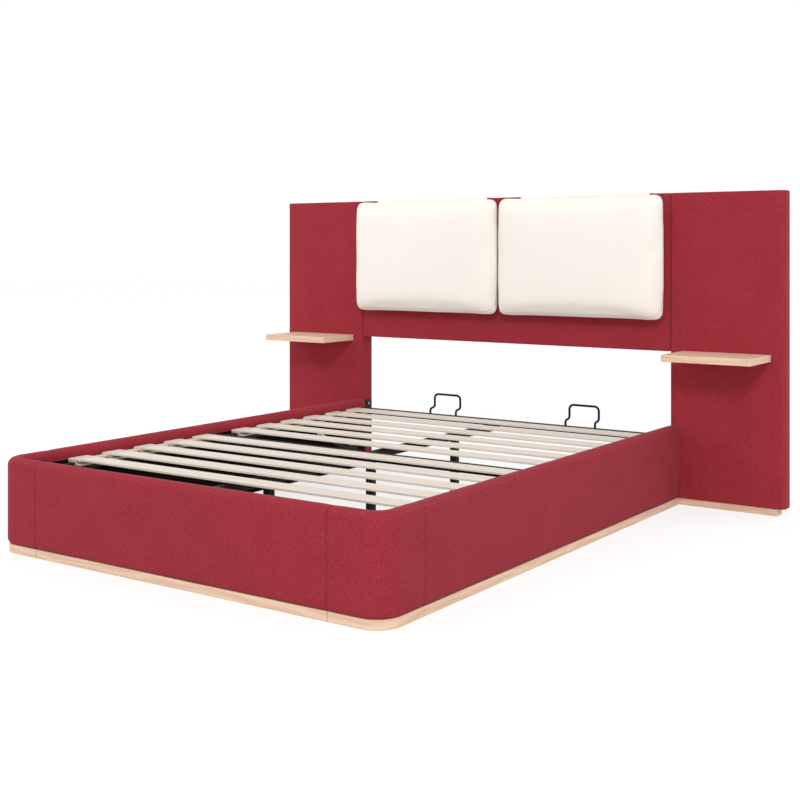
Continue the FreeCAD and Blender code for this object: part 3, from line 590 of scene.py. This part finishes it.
def make_piece(name, bm, finish, body, nodes, crisp=False):
    """A closed piece with its faces outwards and its sharp edges marked."""
    bmesh.ops.recalc_face_normals(bm, faces=bm.faces)
    for edge in bm.edges:
        edge.smooth = not sharp(edge)
    piece = place_piece(name, bm, finish, body, nodes)
    if crisp:
        piece.modifiers.new("Even faces", "WEIGHTED_NORMAL").keep_sharp = True
    return piece


# Places of the base, from the construction model

FRONT_LOW, FRONT_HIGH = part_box("front_rail_cover")
SIDE_LOW, SIDE_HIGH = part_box("right_rail_cover")
SEAM_X, SEAM_Y = FRONT_HIGH.x, SIDE_LOW.y
FOOT_Y, HALF_WIDTH = FRONT_LOW.y, SIDE_HIGH.x
RAIL = FRONT_HIGH.y - FRONT_LOW.y
CORNER = 0.090  # outer radius of the rounded corners
TURN_X, TURN_Y = HALF_WIDTH - CORNER, FOOT_Y + CORNER
STRAIGHT = TURN_X - SEAM_X


def along_rail(co):
    """Distance along the base from the middle of its foot, round a corner and up a side, and inwards."""
    x = abs(co.x)
    if x <= TURN_X:
        return x, co.y - FOOT_Y
    if co.y >= TURN_Y:
        return TURN_X + CORNER * math.pi / 2 + co.y - TURN_Y, HALF_WIDTH - x
    out = Vector((x - TURN_X, TURN_Y - co.y))
    return TURN_X + CORNER * math.atan2(out.x, out.y), CORNER - out.length


def on_rail(co, normal):
    along, inward = along_rail(co)
    return math.copysign(along, co.x), (FRONT_HIGH.z + inward if abs(normal.z) > FACING else co.z)


def section(bm, points):
    """A flat outline across the rail, at the seam between the foot and the right corner."""
    return [bm.verts.new((SEAM_X, FOOT_Y + inward, height)) for inward, height in points]


def divide(bm, longest):
    """Divide an outline's long edges into even steps."""
    for edge in list(bm.edges):
        cuts = int(edge.calc_length() / longest)
        if cuts:
            bmesh.ops.subdivide_edges(bm, edges=[edge], cuts=cuts)


def extend(bm, faces, move, steps):
    """Extrude end faces by a move, in even steps, and give back the new end."""
    made = bmesh.ops.extrude_face_region(bm, geom=faces)["geom"]
    verts = [item for item in made if isinstance(item, bmesh.types.BMVert)]
    bmesh.ops.translate(bm, verts=verts, vec=move)
    ends = set(verts)
    runs = [edge for vert in verts for edge in vert.link_edges if edge.other_vert(vert) not in ends]
    bmesh.ops.subdivide_edges(bm, edges=runs, cuts=steps)
    return [item for item in made if isinstance(item, bmesh.types.BMFace)]


def sweep_front(bm, steps):
    extend(bm, bm.faces[:], (-2 * SEAM_X, 0, 0), steps)


def sweep_corner(bm, steps):
    end = extend(bm, bm.faces[:], (STRAIGHT, 0, 0), steps // 4)
    geom = {item for face in end for item in (face, *face.edges, *face.verts)}
    turned = bmesh.ops.spin(bm, geom=list(geom), cent=(TURN_X, TURN_Y, 0), axis=(0, 0, 1),
                            angle=math.pi / 2, steps=steps)
    end = [item for item in turned["geom_last"] if isinstance(item, bmesh.types.BMFace)]
    extend(bm, end, (0, STRAIGHT, 0), steps // 4)


def sweep_side(bm, steps):
    quarter = Matrix.Rotation(math.pi / 2, 3, "Z")
    bmesh.ops.rotate(bm, verts=bm.verts, cent=(TURN_X, TURN_Y, 0), matrix=quarter)
    bmesh.ops.translate(bm, verts=bm.verts, vec=(0, 2 * STRAIGHT, 0))
    extend(bm, bm.faces[:], (0, SIDE_HIGH.y - SEAM_Y, 0), steps)


def mirror_left(bm):
    bmesh.ops.scale(bm, verts=bm.verts, vec=(-1, 1, 1))


def close(bm):
    """Merge what a sweep left apart and close its ends."""
    bmesh.ops.remove_doubles(bm, verts=bm.verts, dist=TOUCH)
    open_edges = [edge for edge in bm.edges if edge.is_boundary]
    if open_edges:
        bmesh.ops.holes_fill(bm, edges=open_edges)
    bmesh.ops.recalc_face_normals(bm, faces=bm.faces)


def seam_axis(co):
    """The axis square to the seam that a point lies on, where lengths meet each other or the headboard."""
    if abs(abs(co.x) - SEAM_X) < NEAR:
        return 0
    if min(abs(co.y - SEAM_Y), abs(co.y - SIDE_HIGH.y)) < NEAR:
        return 1
    return None


def at_seams(edge):
    return all(seam_axis(vert.co) is not None for vert in edge.verts) and edge.calc_face_angle(0.0) > 0.5


def from_seams(co):
    along = along_rail(co)[0]
    side = TURN_X + CORNER * math.pi / 2 - TURN_Y
    ends = (SEAM_X, side + SEAM_Y, side + SIDE_HIGH.y)
    return min(abs(along - end) for end in ends)


# Each length of the base: its name, sweep, steps along it, and whether it is mirrored to the left
LENGTHS = (
    ("front", sweep_front, 90, False),
    ("right_corner", sweep_corner, 24, False),
    ("left_corner", sweep_corner, 24, True),
    ("right", sweep_side, 130, False),
    ("left", sweep_side, 130, True),
)


# Distances in metres from a seam over which the padding is drawn in, and over which it grows uneven
DRAWN = 0.045
UNEVEN = 0.02
# Longest edges in metres of the covers' and linings' outlines, and width of a lining's tight border
COVER_MESH = 0.022
LINING_MESH = 0.035
LINING_BORDER = 0.06


class BED_OT_rails(bpy.types.Operator):
    """Padded covers of the foot, the rounded corners and the sides"""
    bl_idname = "bed.rails"
    bl_label = "Rails"

    def execute(self, context):
        s = settings().upholstery
        finish = material("red_cloth", red_cloth)
        low, high = FRONT_LOW.z, FRONT_HIGH.z
        points = ((0, low), (0, high), (RAIL, high), (RAIL, high - s.wrap),
                  (RAIL - s.skin, high - s.wrap - s.skin / 2), (RAIL - s.skin, low))

        def padding(co, normal):
            seam = from_seams(co)
            return s.swell * (1.0 - min(seam / DRAWN, 1.0)) ** 2, s.ripple * min(seam / UNEVEN, 1.0)

        for index, (name, sweep, steps, flip) in enumerate(LENGTHS):
            bm = bmesh.new()
            verts = section(bm, points)
            bm.faces.new(verts)
            round_edges(bm, verts[1:3], s.rail_top_edge, 9, "VERTICES")
            round_edges(bm, [verts[0]], s.rail_foot_edge, 6, "VERTICES")
            divide(bm, COVER_MESH)
            sweep(bm, steps)
            close(bm)
            round_edges(bm, [edge for edge in bm.edges if at_seams(edge)], s.seam_edge, 3)
            draw_in(bm, padding, 3.1 * index, seam_axis)
            if flip:
                mirror_left(bm)
                bmesh.ops.recalc_face_normals(bm, faces=bm.faces)
            lay(bm, on_rail)
            node = name + ("_cover" if "corner" in name else "_rail_cover")
            make_piece(name + "_padding", bm, finish, "base", [node])
        return {"FINISHED"}


class BED_OT_linings(bpy.types.Operator):
    """Black cloth stretched over the inner faces of the rails, down to the floor"""
    bl_idname = "bed.linings"
    bl_label = "Linings"

    def inwards(self, co):
        if co.x <= TURN_X:
            return Vector((0, 1, 0))
        if co.y >= TURN_Y:
            return Vector((-1, 0, 0))
        return Vector((TURN_X - co.x, TURN_Y - co.y, 0)).normalized()

    def execute(self, context):
        s = settings().upholstery
        finish = material("lining_cloth", lining_cloth)
        low, high = (corner.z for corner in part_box("rail_linings"))
        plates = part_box("right_lift_plate")[0].y
        near = RAIL - s.skin
        far = near + s.lining_thickness
        for index, (name, sweep, steps, flip) in enumerate(LENGTHS):
            bm = bmesh.new()
            bm.faces.new(section(bm, ((near, low), (near, high), (far, high), (far, low))))
            divide(bm, LINING_MESH)
            sweep(bm, steps // 2)
            close(bm)
            area = sum(face.calc_area() for face in bm.faces) / 2
            for vert in bm.verts:
                edge = min(vert.co.z - low, high - vert.co.z, from_seams(vert.co),
                           max(plates - vert.co.y, 0.0))
                loose = 0.5 + 0.5 * noise.noise(vert.co * 5.0 + Vector((0, 0, index * 7.0)))
                vert.co += self.inwards(vert.co) * (s.lining_slack * loose * min(edge / LINING_BORDER, 1.0))
            if flip:
                mirror_left(bm)
                bmesh.ops.recalc_face_normals(bm, faces=bm.faces)
            piece = make_piece(name + "_lining", bm, finish, "base", ["rail_linings"])
            area / (high - low)
        return {"FINISHED"}


# Rounding of a board's top and bottom as a share of that of its seams
RIM_SHARE = 0.95


def on_board(co, normal):
    """A board's map, laid on each face from the side that it looks to."""
    return (co.y if abs(normal.x) > FACING else co.x), (co.y if abs(normal.z) > FACING else co.z)


class BED_OT_headboard(bpy.types.Operator):
    """Padded covers of the tall panels and the bridge panel"""
    bl_idname = "bed.headboard"
    bl_label = "Headboard"

    # Width in metres of the even border, shortest of the long edges, and the cuts in them by their axis
    border = 0.08
    shortest = 0.2
    cuts = {2: 46, 0: 22}

    def board(self, low, high, left, right):
        """A padded board whose upright edges have two roundings, one on each side."""
        s = settings().upholstery
        bm = bmesh.new()
        add_box(bm, low, high)
        for x, radius in ((low.x, left), (high.x, right)):
            upright = [edge for edge in edges_on(bm, 0, x) if reach(edge, 2) > self.shortest]
            round_edges(bm, upright, radius, 6)
        for z in (low.z, high.z):
            rim = [edge for edge in edges_on(bm, 2, z) if sharp(edge)]
            round_edges(bm, rim, s.panel_edge * RIM_SHARE, 5)
        for axis, cuts in self.cuts.items():
            runs = [edge for edge in bm.edges if reach(edge, axis) > self.shortest]
            bmesh.ops.subdivide_edges(bm, edges=runs, cuts=cuts, use_grid_fill=True)

        def padding(co, normal):
            edge = min(co.x - low.x, high.x - co.x, co.z - low.z, high.z - co.z)
            inside = min(max(edge - s.panel_edge, 0.0) / self.border, 1.0) if abs(normal.y) > FACING else 0.0
            return 0.0, s.ripple * 2.0 * inside

        draw_in(bm, padding, 5.7 * low.x)
        return bm

    def execute(self, context):
        s = settings().upholstery
        free, met = s.panel_corner, s.panel_edge
        for node, left, right in (("left_panel_cover", free, met), ("right_panel_cover", met, free),
                                  ("bridge_cover", met, met)):
            low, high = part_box(node)
            if node == "left_panel_cover":
                high.x -= s.panel_gap
            elif node == "right_panel_cover":
                low.x += s.panel_gap
            bm = self.board(low, high, left, right)
            lay(bm, on_board)
            piece = make_piece(node.replace("cover", "padding"), bm, material("red_cloth", red_cloth), "base",
                               [node], crisp=True)
        return {"FINISHED"}


# How the cushions' cloth behaves while it is stuffed, and for how many frames that goes on
STUFFING = {"quality": 6, "mass": 0.25, "tension_stiffness": 18, "compression_stiffness": 18,
            "shear_stiffness": 6, "bending_stiffness": 8.0, "use_pressure": True}
FRAMES = 20
# Cuts across a cushion as it is cut, and rounds of smoothing once it is stuffed
CUSHION_CUTS = 36
SMOOTHING = 26


class BED_OT_cushions(bpy.types.Operator):
    """Two stuffed cushions, swollen by a cloth simulation"""
    bl_idname = "bed.cushions"
    bl_label = "Cushions"

    def cut(self, low, high):
        """A divided cube brought to a soft cushion's form."""
        s = settings().cushions
        bm = bmesh.new()
        bmesh.ops.create_cube(bm, size=2.0)
        bmesh.ops.subdivide_edges(bm, edges=bm.edges[:], cuts=CUSHION_CUTS, use_grid_fill=True)
        half = (high - low) / 2
        half.y = s.cut_depth / 2
        middle = Vector(((low.x + high.x) / 2, high.y - half.y, (low.z + high.z) / 2))
        for vert in bm.verts:
            u, w, v = vert.co
            outline = (abs(u) ** s.squareness + abs(v) ** s.squareness) ** (1 / s.squareness)
            size = (outline ** s.flatness + abs(w) ** s.flatness) ** (1 / s.flatness)
            u, w, v = u / size, w / size, v / size
            bulged = (u * (1 - s.bulge * v * v), w, v * (1 - s.bulge * u * u))
            vert.co = middle + Vector(share * reach for share, reach in zip(bulged, half))
        return bm

    def stuff(self, piece):
        """Swell the cover under pressure, let no point move further than it may, and keep the result."""
        s = settings().cushions
        cloth = piece.modifiers.new("Stuffing", "CLOTH")
        for name, value in STUFFING.items():
            setattr(cloth.settings, name, value)
        cloth.settings.uniform_pressure_force = s.pressure
        cloth.settings.effector_weights.gravity = 0.0
        cloth.point_cache.frame_start = 1
        cloth.point_cache.frame_end = FRAMES
        for step in range(FRAMES):
            bpy.context.scene.frame_set(step + 1)
        swollen = piece.evaluated_get(bpy.context.evaluated_depsgraph_get()).to_mesh()
        places = [vert.co.copy() for vert in swollen.vertices]
        piece.modifiers.remove(cloth)
        bpy.context.scene.frame_set(1)
        for vert, place in zip(piece.data.vertices, places):
            move = place - vert.co
            if move.length > s.most_swell:
                move *= s.most_swell / move.length
            vert.co += move

    def fit(self, mesh, low, high, back, index):
        """Bring the stuffed cover to the cushion's size, flat where it rests on the headboard."""
        s = settings().cushions
        for vert in mesh.vertices:
            vert.co.y = min(vert.co.y, back)
        lows = Vector(map(min, zip(*(vert.co for vert in mesh.vertices))))
        highs = Vector(map(max, zip(*(vert.co for vert in mesh.vertices))))
        for vert in mesh.vertices:
            for axis in range(3):
                share = (vert.co[axis] - lows[axis]) / (highs[axis] - lows[axis])
                vert.co[axis] = low[axis] + share * (high[axis] - low[axis])
            hang = s.hang * noise.noise(vert.co * 6.0 + Vector((index * 4.0, 0, 0)))
            vert.co.y = min(vert.co.y + hang, back)
            vert.co.z += 0.5 * hang

    def execute(self, context):
        s = settings().cushions
        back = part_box("left_cushion")[1].y
        finish = material("ivory_cloth", ivory_cloth)
        for index, side in enumerate(SIDES):
            low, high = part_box(side + "_cushion")
            bm = self.cut(low, high)
            piece = make_piece(side + "_cushion_cover", bm, finish, side + "_cushion_body",
                               [side + "_cushion"])
            remesh = piece.modifiers.new("Even mesh", "REMESH")
            remesh.mode = "VOXEL"
            remesh.voxel_size = s.voxel
            even = bpy.data.meshes.new_from_object(piece.evaluated_get(context.evaluated_depsgraph_get()))
            piece.modifiers.clear()
            piece.data = even
            piece.name = side + "_cushion_cover"
            self.stuff(piece)
            smooth = bmesh.new()
            smooth.from_mesh(even)
            for step in range(SMOOTHING):
                bmesh.ops.smooth_vert(smooth, verts=smooth.verts, factor=0.5,
                                      use_axis_x=True, use_axis_y=True, use_axis_z=True)
            smooth.to_mesh(even)
            smooth.free()
            self.fit(even, low, high, back, index)
            shade_smooth(even)
            fine = piece.modifiers.new("Fine", "SUBSURF")
            fine.levels = 1
            fine.render_levels = 1
        return {"FINISHED"}


class BED_OT_flaps(bpy.types.Operator):
    """Cloth flaps that hang the cushions over the bridge panel"""
    bl_idname = "bed.flaps"
    bl_label = "Flaps"

    # Shortest edges in metres that are divided across and down a flap, and the cuts in them
    across, across_cuts = 0.1, 40
    down, down_cuts = 0.03, 6

    def execute(self, context):
        s = settings().cushions
        finish = material("ivory_cloth", ivory_cloth)
        bridge_low, bridge_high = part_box("bridge_cover")
        bend = settings().upholstery.panel_edge
        for index, side in enumerate(SIDES):
            low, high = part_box(side + "_cushion_flap")
            width = high.x - low.x
            front, rear = bridge_low.y - s.flap_room, bridge_high.y + s.flap_room
            top = bridge_high.z + s.flap_room
            path = ((front, top - s.flap_drop), (front, top), (rear, top), (rear, low.z))
            bm = bmesh.new()
            verts = [bm.verts.new((low.x, y, z)) for y, z in path]
            edges = [bm.edges.new(pair) for pair in zip(verts, verts[1:])]
            made = bmesh.ops.extrude_edge_only(bm, edges=edges)["geom"]
            moved = [item for item in made if isinstance(item, bmesh.types.BMVert)]
            bmesh.ops.translate(bm, verts=moved, vec=(width, 0, 0))
            folds = [edge for edge in bm.edges if len(edge.link_faces) == 2]
            round_edges(bm, folds, bend, 6)
            for axis, shortest, cuts in ((0, self.across, self.across_cuts), (2, self.down, self.down_cuts)):
                runs = [edge for edge in bm.edges if reach(edge, axis) > shortest]
                bmesh.ops.subdivide_edges(bm, edges=runs, cuts=cuts)
            bmesh.ops.recalc_face_normals(bm, faces=bm.faces)
            if sum(face.normal.z for face in bm.faces) < 0:
                bmesh.ops.reverse_faces(bm, faces=bm.faces)
            bm.normal_update()
            for vert in bm.verts:
                lift = 0.5 + 0.5 * noise.noise(Vector((vert.co.x * 14.0, vert.co.z * 6.0, index * 3.0)))
                vert.co += vert.normal * (s.flap_ripple * lift)
            area = sum(face.calc_area() for face in bm.faces)
            piece = place_piece(side + "_flap", bm, finish, side + "_cushion_body",
                                [side + "_cushion_flap"])
            wall = piece.modifiers.new("Cloth", "SOLIDIFY")
            wall.thickness = s.flap_thickness
            wall.offset = 1.0
            area / width
        return {"FINISHED"}


class BED_OT_plinth(bpy.types.Operator):
    """Wooden plinth under the base and the tall panels"""
    bl_idname = "bed.plinth"
    bl_label = "Plinth"

    def execute(self, context):
        s = settings().wood
        finish = pale_oak()
        low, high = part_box("front_plinth")
        near, far = low.y - FOOT_Y, high.y - FOOT_Y
        points = ((near, low.z), (near, high.z), (far, high.z), (far, low.z))
        for name, sweep, steps, flip in LENGTHS:
            bm = bmesh.new()
            verts = section(bm, points)
            bm.faces.new(verts)
            round_edges(bm, verts, s.edge, 3, "VERTICES")
            sweep(bm, max(steps // 3, 20))
            close(bm)
            middle = sum((vert.co for vert in bm.verts), Vector()) / len(bm.verts)
            for vert in bm.verts:
                axis = seam_axis(vert.co)
                if axis is not None:
                    vert.co[axis] += math.copysign(s.joint, middle[axis] - vert.co[axis])
            if flip:
                mirror_left(bm)
                bmesh.ops.recalc_face_normals(bm, faces=bm.faces)
            lay(bm, on_rail)
            node = name + "_plinth"
            make_piece(node + "_board", bm, finish, "base", [node], crisp=True)
        for side in SIDES:
            node = side + "_panel_plinth"
            bm = bmesh.new()
            add_box(bm, *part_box(node), s.edge, 3)
            lay(bm, along_axis(0))
            make_piece(node + "_board", bm, finish, "base", [node], crisp=True)
        return {"FINISHED"}


class BED_OT_shelves(bpy.types.Operator):
    """Wooden shelves on the tall panels"""
    bl_idname = "bed.shelves"
    bl_label = "Shelves"

    def execute(self, context):
        s = settings().wood
        for side in SIDES:
            low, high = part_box(side + "_shelf")
            bm = bmesh.new()
            add_box(bm, low, high)
            front = [edge for edge in edges_on(bm, 1, low.y) if reach(edge, 2) > NEAR]
            round_edges(bm, front, s.shelf_corner, 5)
            rest = [edge for edge in bm.edges if sharp(edge)]
            round_edges(bm, rest, s.edge, 3)
            lay(bm, along_axis(0))
            make_piece(side + "_shelf_board", bm, pale_oak(), "base", [side + "_shelf"],
                       crisp=True)
        return {"FINISHED"}


class BED_OT_slats(bpy.types.Operator):
    """Flat slats of the two halves"""
    bl_idname = "bed.slats"
    bl_label = "Slats"

    def execute(self, context):
        s = settings().wood
        for node in ("front_slats", "rear_slats"):
            bm = bmesh.new()
            for low, high in solid_boxes(node):
                add_box(bm, low, high, s.slat_edge, 3)
            lay(bm, along_axis(0))
            make_piece(node + "_boards", bm, slat_wood(), "platform", [node], crisp=True)
        return {"FINISHED"}


# Heights of the slat caps in metres above the side tubes, or below them where they are less than zero
STRIP_TOP = 0.0083
CAP_TOP = 0.0155
MOUTH_FLOOR = 0.005
RIB_TOP = 0.012
WEB_TOP = 0.004
JAW_TOP = -0.002
WEB_BOTTOM = -0.006
JAW_BOTTOM = -0.009
# Depths of their parts in metres along a slat, how far the strip stops short, and the room at the tube
SEAT = 0.018
MOUTH = 0.024
LIP = 0.005
RIB = 0.012
STRIP_STEP = 0.002
TUBE_ROOM = 0.0003
# How much less than half a cap the jaws and lips are, half a rib in metres, and the ribs' places
JAW_STEP = 0.002
LIP_STEP = 0.006
RIB_HALF = 0.0015
RIB_SHARES = (-0.62, 0.0, 0.62)
# Roundings of their edges in metres
CAP_EDGE = 0.004
STRIP_EDGE = 0.0015
LIP_EDGE = 0.0012
WEB_EDGE = 0.001
RIB_EDGE = 0.0006


class BED_OT_holders(bpy.types.Operator):
    """Moulded strips along the side tubes, whose caps hold the slats' ends"""
    bl_idname = "bed.holders"
    bl_label = "Slat caps"

    def execute(self, context):
        s = settings().wood
        finish = moulded("cap_plastic", s.cap, s.cap_dark, 0.42)
        tube_low, tube_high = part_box("right_side_tubes")
        face, floor = tube_low.x - TUBE_ROOM, tube_high.z
        slats = [box for node in ("front_slats", "rear_slats") for box in solid_boxes(node)]
        bm = bmesh.new()
        for low, high in solid_boxes("slat_holders"):
            side = 1.0 if high.x > 0 else -1.0
            inner, end = sorted((abs(low.x), abs(high.x)))

            def block(start, stop, middle, half, bottom, top, edge):
                near, far = sorted((side * start, side * stop))
                add_box(bm, (near, middle - half, floor + bottom), (far, middle + half, floor + top), edge, 3)

            places = [(first.y + last.y) / 2 for first, last in slats if low.y < first.y and last.y < high.y]
            half = (high.y - max(places) + min(places) - low.y) / 2
            run = (max(places) - min(places)) / 2
            block(tube_low.x, end - STRIP_STEP, min(places) + run, run, 0.0, STRIP_TOP, STRIP_EDGE)
            for middle in places:
                block(inner + SEAT, end, middle, half, 0.0, CAP_TOP, CAP_EDGE)
                block(inner, inner + MOUTH, middle, half, MOUTH_FLOOR, CAP_TOP, CAP_EDGE)
                block(inner, face, middle, half - JAW_STEP, JAW_BOTTOM, JAW_TOP, STRIP_EDGE)
                block(inner + SEAT, face, middle, half - JAW_STEP, WEB_BOTTOM, WEB_TOP, WEB_EDGE)
                block(end - LIP, end, middle, half - LIP_STEP, low.z - floor, WEB_TOP, LIP_EDGE)
                for share in RIB_SHARES:
                    block(end - RIB, end, middle + share * half, RIB_HALF, WEB_BOTTOM, RIB_TOP, RIB_EDGE)
        make_piece("slat_caps", bm, finish, "platform", ["slat_holders"], crisp=True)
        return {"FINISHED"}


class BED_OT_tubes(bpy.types.Operator):
    """Square steel tubes, bars and legs of the platform"""
    bl_idname = "bed.tubes"
    bl_label = "Tubes"

    def execute(self, context):
        s = settings().steel
        for node in ("left_side_tubes", "right_side_tubes", "cross_tubes", "centre_tubes", "centre_legs"):
            bm = bmesh.new()
            for low, high in solid_boxes(node):
                add_box(bm, low, high, s.tube_edge, 4)
            make_piece(node + "_steel", bm, black_coat(), "platform", [node], crisp=True)
        return {"FINISHED"}


class BED_OT_hardware(bpy.types.Operator):
    """Finishes of the construction pieces that stay as they are"""
    bl_idname = "bed.hardware"
    bl_label = "Hardware"

    def execute(self, context):
        s = settings().steel
        finishes = {
            "black_steel": black_coat(),
            "zinc_steel": plated("zinc_plate", s.zinc, s.zinc_dark, 0.32),
            "strut_chrome": plated("polished_chrome", s.chrome, s.chrome_dark, 0.08),
            "black_plastic": moulded("black_moulding", s.plastic, s.plastic_light, 0.5),
            "core_wood": chipboard(),
        }
        slots = {part["node"]: part["material_slot"] for part in frame["record"]["subparts"]}
        for name, node in frame["nodes"].items():
            if not node.hide_render:
                node.data.materials.clear()
                node.data.materials.append(finishes[slots[name]])
        return {"FINISHED"}


# Each lamp's name, place, aim and size in metres
LAMPS = (
    ("key", (5.9, -10.4, 7.4), (0.0, 0.4, 0.5), 2.2),
    ("fill", (5.6, -0.4, 2.6), (0.4, 0.0, 0.4), 2.4),
    ("left", (-2.7, -0.7, 2.2), (-1.0, 1.0, 0.8), 1.4),
)
# Half the floor's side and the camera's furthest sight in metres, and its sensor's width in millimetres
FLOOR_HALF = 30.0
SIGHT = 200.0
SENSOR = 36.0
WHITE = (1.0, 1.0, 1.0)


class BED_OT_stage(bpy.types.Operator):
    """Floor, even light, three lamps and the camera"""
    bl_idname = "bed.stage"
    bl_label = "Stage"

    def lamp(self, name, place, aim, power, size):
        lamp = bpy.data.lights.new(name, "AREA")
        lamp.energy = power
        lamp.size = size
        holder = bpy.data.objects.new(name, lamp)
        holder.location = place
        holder.rotation_mode = "QUATERNION"
        holder.rotation_quaternion = (Vector(aim) - Vector(place)).to_track_quat("-Z", "Y")
        bpy.context.scene.collection.objects.link(holder)

    def floor(self):
        s = settings().stage
        finish = Finish("pale_floor", Roughness=0.9, Specular_IOR_Level=0.1)
        place = finish.place()
        cloud = finish.grain(place, 1.3, 3.0)
        finish.set(Base_Color=finish.mix(cloud.between(0.2, 0.8), s.floor, s.floor_dark))
        shadow = finish.node("ShaderNodeBsdfDiffuse", None, {"Color": [s.floor_grey] * 3})
        glow = finish.node("ShaderNodeEmission", None, {"Color": WHITE, "Strength": s.floor_glow})
        white = finish.node("ShaderNodeAddShader", None, {0: shadow, 1: glow})
        ground = Value(finish, finish.shader.outputs["BSDF"])
        seen = finish.node("ShaderNodeMixShader", None, {0: finish.shown(), 1: ground, 2: white})
        finish.end("Material Output", seen)
        bm = bmesh.new()
        bmesh.ops.create_grid(bm, x_segments=8, y_segments=8, size=FLOOR_HALF)
        link_mesh("floor", bm, finish.material)

    def sky(self, context):
        world = bpy.data.worlds.new("even_light")
        world.use_nodes = True
        context.scene.world = world
        sky = Nodes(world.node_tree)
        light, white = (sky.node("ShaderNodeBackground", None, {"Color": WHITE, "Strength": strength})
                        for strength in (settings().stage.sky, 1.0))
        sky.end("World Output", sky.node("ShaderNodeMixShader", None, {0: sky.shown(), 1: light, 2: white}))

    def execute(self, context):
        s = settings().stage
        context.scene.view_settings.view_transform = "Standard"
        self.floor()
        self.sky(context)
        for name, place, aim, size in LAMPS:
            self.lamp(name + "_lamp", place, aim, getattr(s, name), size)
        camera = bpy.data.cameras.new("camera")
        camera.sensor_width = SENSOR
        camera.lens = s.lens
        camera.shift_y = s.shift
        camera.clip_end = SIGHT
        holder = bpy.data.objects.new("camera", camera)
        holder.location = s.camera_place
        holder.rotation_euler = (math.pi / 2, 0.0, s.camera_turn)
        context.scene.collection.objects.link(holder)
        context.scene.camera = holder
        return {"FINISHED"}


STEPS = (BED_OT_stage, BED_OT_rails, BED_OT_linings, BED_OT_headboard, BED_OT_cushions, BED_OT_flaps,
         BED_OT_plinth, BED_OT_shelves, BED_OT_slats, BED_OT_holders, BED_OT_tubes, BED_OT_hardware)


class BED_PT_sidebar(bpy.types.Panel):
    """Steps that dress the bed"""
    bl_idname = "BED_PT_sidebar"
    bl_label = "Storage bed"
    bl_space_type = "VIEW_3D"
    bl_region_type = "UI"
    bl_category = "Bed"

    def draw(self, context):
        for step in STEPS:
            self.layout.operator(step.bl_idname)
        for group in ("upholstery", "cushions", "wood", "steel", "stage"):
            values = getattr(context.scene.bed, group)
            box = self.layout.box()
            box.label(text=group.capitalize())
            for name in values.__annotations__:
                box.prop(values, name)


CLASSES = (BedUpholstery, BedCushions, BedWood, BedSteel, BedStage, BedSettings, *STEPS, BED_PT_sidebar)


def register():
    for kind in CLASSES:
        bpy.utils.register_class(kind)
    bpy.types.Scene.bed = group(BedSettings, "Bed", "The bed's sizes and colours")


def unregister():
    del bpy.types.Scene.bed
    for kind in reversed(CLASSES):
        bpy.utils.unregister_class(kind)


def main():
    register()
    for step in STEPS:
        group, name = step.bl_idname.split(".")
        getattr(getattr(bpy.ops, group), name)()


if __name__ == "__main__":
    main()
